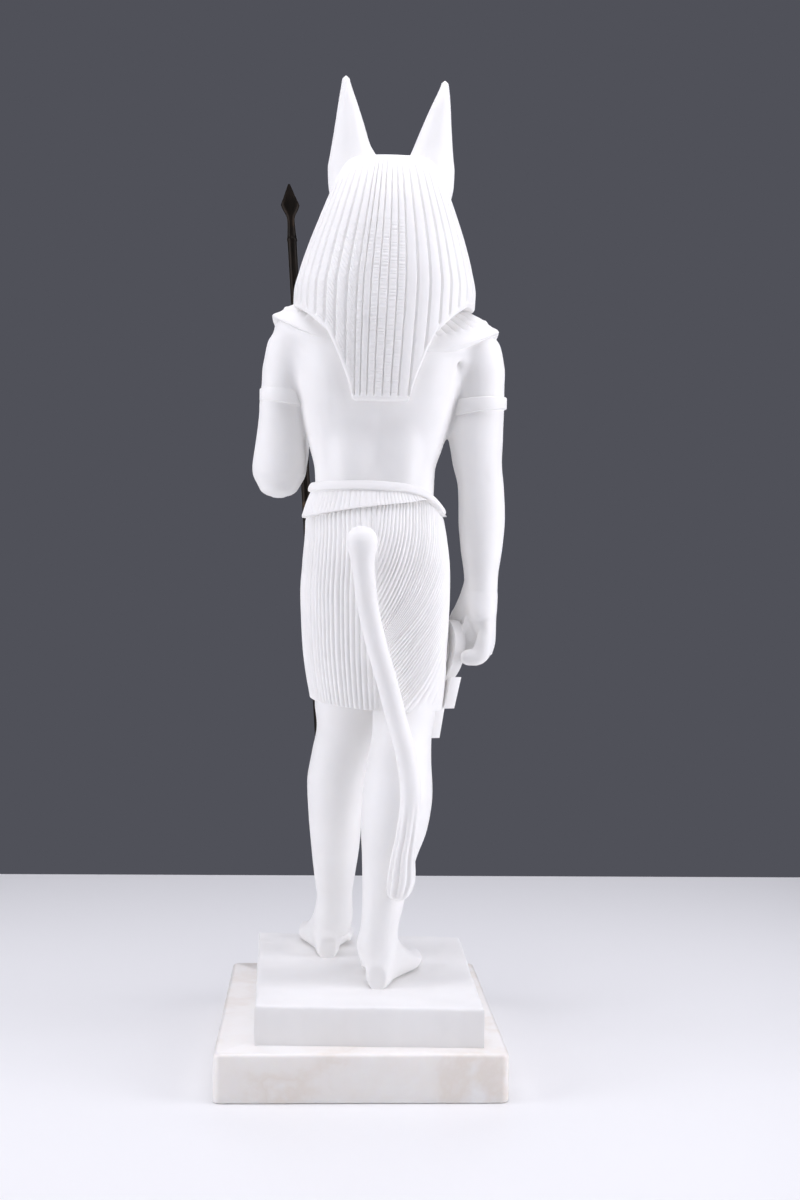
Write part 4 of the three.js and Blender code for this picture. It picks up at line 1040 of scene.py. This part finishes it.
def spear():
    """A straight rod with a small leaf-shaped head on a tapered socket."""
    axis = SPEAR_POINT - SPEAR_FOOT
    axis /= np.linalg.norm(axis)
    across = np.cross(axis, [0, 1, 0])
    across /= np.linalg.norm(across)
    round_axes = (across, np.cross(axis, across))
    base = SPEAR_POINT[2] - HEAD_LENGTH
    rod_rows = [[FLOOR + 0.3, 0.85 * ROD_RADIUS, 0.85 * ROD_RADIUS], [FLOOR + 0.6, ROD_RADIUS, ROD_RADIUS]]
    rod_rows += [[z, ROD_RADIUS, ROD_RADIUS] for z in np.linspace(FLOOR + 1, base - 6, 30)]
    rod = shell("blackened_spear", spear_rings(rod_rows, 32, round_axes))
    head = [[base - 9, 2, 2], [base - 8.6, 2.25, 2.25], [base - 7.6, 2.25, 2.25], [base - 7.2, 2, 2],
            [base - 1, 1.6, 1.6], [base + 0.5, 1.6, 1.5], [base + 2, 2, 1.43], [base + 4.4, 3.3, 1.35],
            [base + 6.2, HEAD_HALF_WIDTH, HEAD_HALF_THICKNESS],
            [base + 7.4, 3.5, 1.26], [base + 9, 2.8, 1.17], [base + 12, 1.6, 0.8],
            [SPEAR_POINT[2] - 0.6, 0.4, 0.3]]
    blade = shell("head", spear_rings(head, 24, (np.array([1, 0, 0]), np.array([0, 1, 0]))))
    return smooth_shaded(cut_or_joined(rod, [blade], "UNION"), 35)


def grip_hole():
    axis = SPEAR_POINT - SPEAR_FOOT
    axis /= np.linalg.norm(axis)
    across = np.cross(axis, [0, 1, 0])
    across /= np.linalg.norm(across)
    radius = ROD_RADIUS + ROD_CLEARANCE
    return shell("grip_hole", spear_rings([[FLOOR + 6, radius, radius], [CROWN, radius, radius]], 32,
                                          (across, np.cross(axis, across))))


def figure():
    """The figure with its plinth, one piece as it was cast."""
    statue = body()
    statue.name = "cast_figure"
    forms = [wig(), ear(1), ear(-1), collar(), kilt(), apron(), armlet(-43.6, 13.8, 250.2, 9.3, 9.6, -1),
             armlet(31.9, 12.2, 252.4, 7.6, 9.4, 1), tail(), ankh(), plinth()]
    cut_or_joined(statue, forms, "UNION")
    cut_or_joined(statue, [grip_hole()], "DIFFERENCE")
    return smooth_shaded(statue, 42)


# Materials

def linear(hex_colour):
    """An sRGB hex colour as linear red, green, blue and alpha."""
    parts = [int(hex_colour[i:i + 2], 16) / 255 for i in (1, 3, 5)]
    return [p / 12.92 if p <= 0.04045 else ((p + 0.055) / 1.055) ** 2.4 for p in parts] + [1]


def add(tree, kind, settings=(), **inputs):
    """Adds a node with its settings and colour stops, and gives its inputs, named or numbered, values or links."""
    node = tree.nodes.new(kind)
    settings = dict(settings)
    for number, (place, colour) in enumerate(settings.pop("stops", ())):
        elements = node.color_ramp.elements
        stop = elements[number] if number < len(elements) else elements.new(place)
        stop.position = place
        stop.color = linear(colour)
    for name, value in settings.items():
        setattr(node, name, value)
    for name, value in inputs.items():
        numbered = name[0] == "i" and name[1:].isdigit()
        socket = node.inputs[int(name[1:]) if numbered else name.replace("_", " ")]
        if isinstance(value, bpy.types.NodeSocket):
            tree.links.new(value, socket)
        else:
            socket.default_value = value
    return node


def new_material(name):
    material = bpy.data.materials.new(name)
    material.use_nodes = True
    material.node_tree.nodes.clear()
    return material, material.node_tree


def cast_alabaster():
    """Crushed alabaster cast in a mould: a bright, matt, faintly translucent white with a fine grain."""
    material, tree = new_material("cast_alabaster")
    place = add(tree, "ShaderNodeTexCoord").outputs["Object"]
    cloud = add(tree, "ShaderNodeTexNoise", Vector=place, Scale=1 / (30 * MM), Detail=3.0)
    whites = add(tree, "ShaderNodeValToRGB", {"stops": [(0.3, "#f1f0ee"), (0.7, "#f8f7f5")]},
                 Fac=cloud.outputs["Fac"])
    grain = add(tree, "ShaderNodeTexNoise", Vector=place, Scale=1 / (0.5 * MM), Detail=2.0)
    bump = add(tree, "ShaderNodeBump", Strength=0.12, Distance=0.08 * MM, Height=grain.outputs["Fac"])
    shader = add(tree, "ShaderNodeBsdfPrincipled", Base_Color=whites.outputs["Color"], Roughness=0.55,
                 IOR=1.52, Normal=bump.outputs["Normal"])
    shader.subsurface_method = "RANDOM_WALK"
    shader.inputs["Subsurface Weight"].default_value = 0.12
    shader.inputs["Subsurface Radius"].default_value = (1.0, 0.9, 0.8)
    shader.inputs["Subsurface Scale"].default_value = 1.5 * MM
    add(tree, "ShaderNodeOutputMaterial", Surface=shader.outputs[0])
    return material


def polished_alabaster():
    """Solid alabaster, sawn and polished: milky off-white with faint warm veins and a soft gloss."""
    material, tree = new_material("polished_alabaster")
    place = add(tree, "ShaderNodeTexCoord").outputs["Object"]
    warp = add(tree, "ShaderNodeTexNoise", Vector=place, Scale=1 / (45 * MM), Detail=4.0)
    moved = add(tree, "ShaderNodeVectorMath", {"operation": "MULTIPLY_ADD"}, i0=warp.outputs["Color"],
                i1=(0.03, 0.03, 0.03), i2=place)
    bands = add(tree, "ShaderNodeTexNoise", Vector=moved.outputs[0], Scale=1 / (35 * MM), Detail=5.0,
                Roughness=0.6)
    stops = [(0.3, "#f6f4f1"), (0.5, "#f2eee9"), (0.58, "#ece5dd"), (0.68, "#f5f3f0")]
    veins = add(tree, "ShaderNodeValToRGB", {"stops": stops}, Fac=bands.outputs["Fac"])
    shader = add(tree, "ShaderNodeBsdfPrincipled", Base_Color=veins.outputs["Color"], Roughness=0.28, IOR=1.52)
    shader.subsurface_method = "RANDOM_WALK"
    shader.inputs["Subsurface Weight"].default_value = 0.3
    shader.inputs["Subsurface Radius"].default_value = (1.0, 0.85, 0.7)
    shader.inputs["Subsurface Scale"].default_value = 4 * MM
    shader.inputs["Coat Weight"].default_value = 0.25
    shader.inputs["Coat Roughness"].default_value = 0.15
    add(tree, "ShaderNodeOutputMaterial", Surface=shader.outputs[0])
    return material


def blackened_bronze():
    """Bronze rod, chemically blackened and waxed: near black with brown where hands have worn it."""
    material, tree = new_material("blackened_bronze")
    place = add(tree, "ShaderNodeTexCoord").outputs["Object"]
    patches = add(tree, "ShaderNodeTexNoise", Vector=place, Scale=1 / (6 * MM), Detail=4.0)
    stops = [(0.35, "#16120e"), (0.6, "#1f1812"), (0.75, "#4a3a28")]
    browns = add(tree, "ShaderNodeValToRGB", {"stops": stops}, Fac=patches.outputs["Fac"])
    rough = add(tree, "ShaderNodeMapRange", Value=patches.outputs["Fac"], To_Min=0.3, To_Max=0.5)
    shader = add(tree, "ShaderNodeBsdfPrincipled", Base_Color=browns.outputs["Color"], Metallic=0.8,
                 Roughness=rough.outputs[0])
    add(tree, "ShaderNodeOutputMaterial", Surface=shader.outputs[0])
    return material


def studio_floor():
    """A pale matt table top."""
    material, tree = new_material("pale_table")
    shader = add(tree, "ShaderNodeBsdfPrincipled", Base_Color=linear("#f2f2f2"), Roughness=0.4)
    add(tree, "ShaderNodeOutputMaterial", Surface=shader.outputs[0])
    return material


# Stage

def floor():
    points = np.array([[-700, -383, -0.05], [700, -383, -0.05], [700, 700, -0.05], [-700, 700, -0.05]], float)
    piece = mesh_object("table", points, [np.array([[0, 1, 2, 3]])])
    piece.data.materials.append(studio_floor())


def soft_light(name, place, target, width, height, power, colour="#ffffff"):
    data = bpy.data.lights.new(name, "AREA")
    data.shape, data.size, data.size_y, data.energy = "RECTANGLE", width * MM, height * MM, power
    data.color = linear(colour)[:3]
    lamp = bpy.data.objects.new(name, data)
    place, target = Vector(place) * MM, Vector(target) * MM
    lamp.location = place
    lamp.rotation_euler = (target - place).to_track_quat("-Z", "Y").to_euler()
    bpy.context.scene.collection.objects.link(lamp)


def lights():
    """Two tall soft boxes that graze the figure from its sides, one overhead and weak ones before and behind it."""
    chest = (-5, 15, 190)
    lamp = "#f8f7ff"
    soft_light("left_box", (560, 160, 240), chest, 380, 640, 2.5, lamp)
    soft_light("right_box", (-560, 190, 260), chest, 380, 640, 2.9, lamp)
    soft_light("top_box", (0, 120, 820), chest, 620, 620, 4.4, lamp)
    soft_light("front_fill", (0, 900, 460), chest, 900, 400, 0.6, lamp)
    soft_light("face_fill", (0, -800, 420), chest, 900, 500, 1.4, lamp)
    world = bpy.data.worlds.new("studio")
    world.use_nodes = True
    world.node_tree.nodes["Background"].inputs["Color"].default_value = linear("#505159")
    bpy.context.scene.world = world
    bpy.context.scene.view_settings.view_transform = "Standard"


def camera():
    """The photograph's viewing angle: its place, how it is turned, and its focal length for a 36 mm high frame."""
    place = Vector((17.3737, 647.0754, 181.846))
    yaw, pitch, roll = -0.0495, -0.0097, 0.0129
    focal_length = 1657.446 / 1200 * 36
    forward = Vector((math.sin(yaw) * math.cos(pitch), -math.cos(yaw) * math.cos(pitch), math.sin(pitch)))
    right = forward.cross(Vector((0, 0, 1))).normalized()
    up = right.cross(forward)
    right, up = right * math.cos(roll) + up * math.sin(roll), up * math.cos(roll) - right * math.sin(roll)
    data = bpy.data.cameras.new("camera")
    data.sensor_fit, data.sensor_height, data.lens = "VERTICAL", 36, focal_length
    data.clip_start = 0.01
    eye = bpy.data.objects.new("camera", data)
    bpy.context.scene.collection.objects.link(eye)
    turn = Matrix((right, up, -forward)).transposed().to_4x4()
    eye.matrix_world = Matrix.Translation(place * MM) @ turn
    bpy.context.scene.camera = eye


def dress(piece, node, material):
    piece.data.materials.clear()
    piece.data.materials.append(material)
    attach(piece, "root")
    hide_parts(node)


dress(figure(), "figure_with_plinth", cast_alabaster())
dress(base_slab(), "base_slab", polished_alabaster())
dress(spear(), "spear", blackened_bronze())
floor()
lights()
camera()
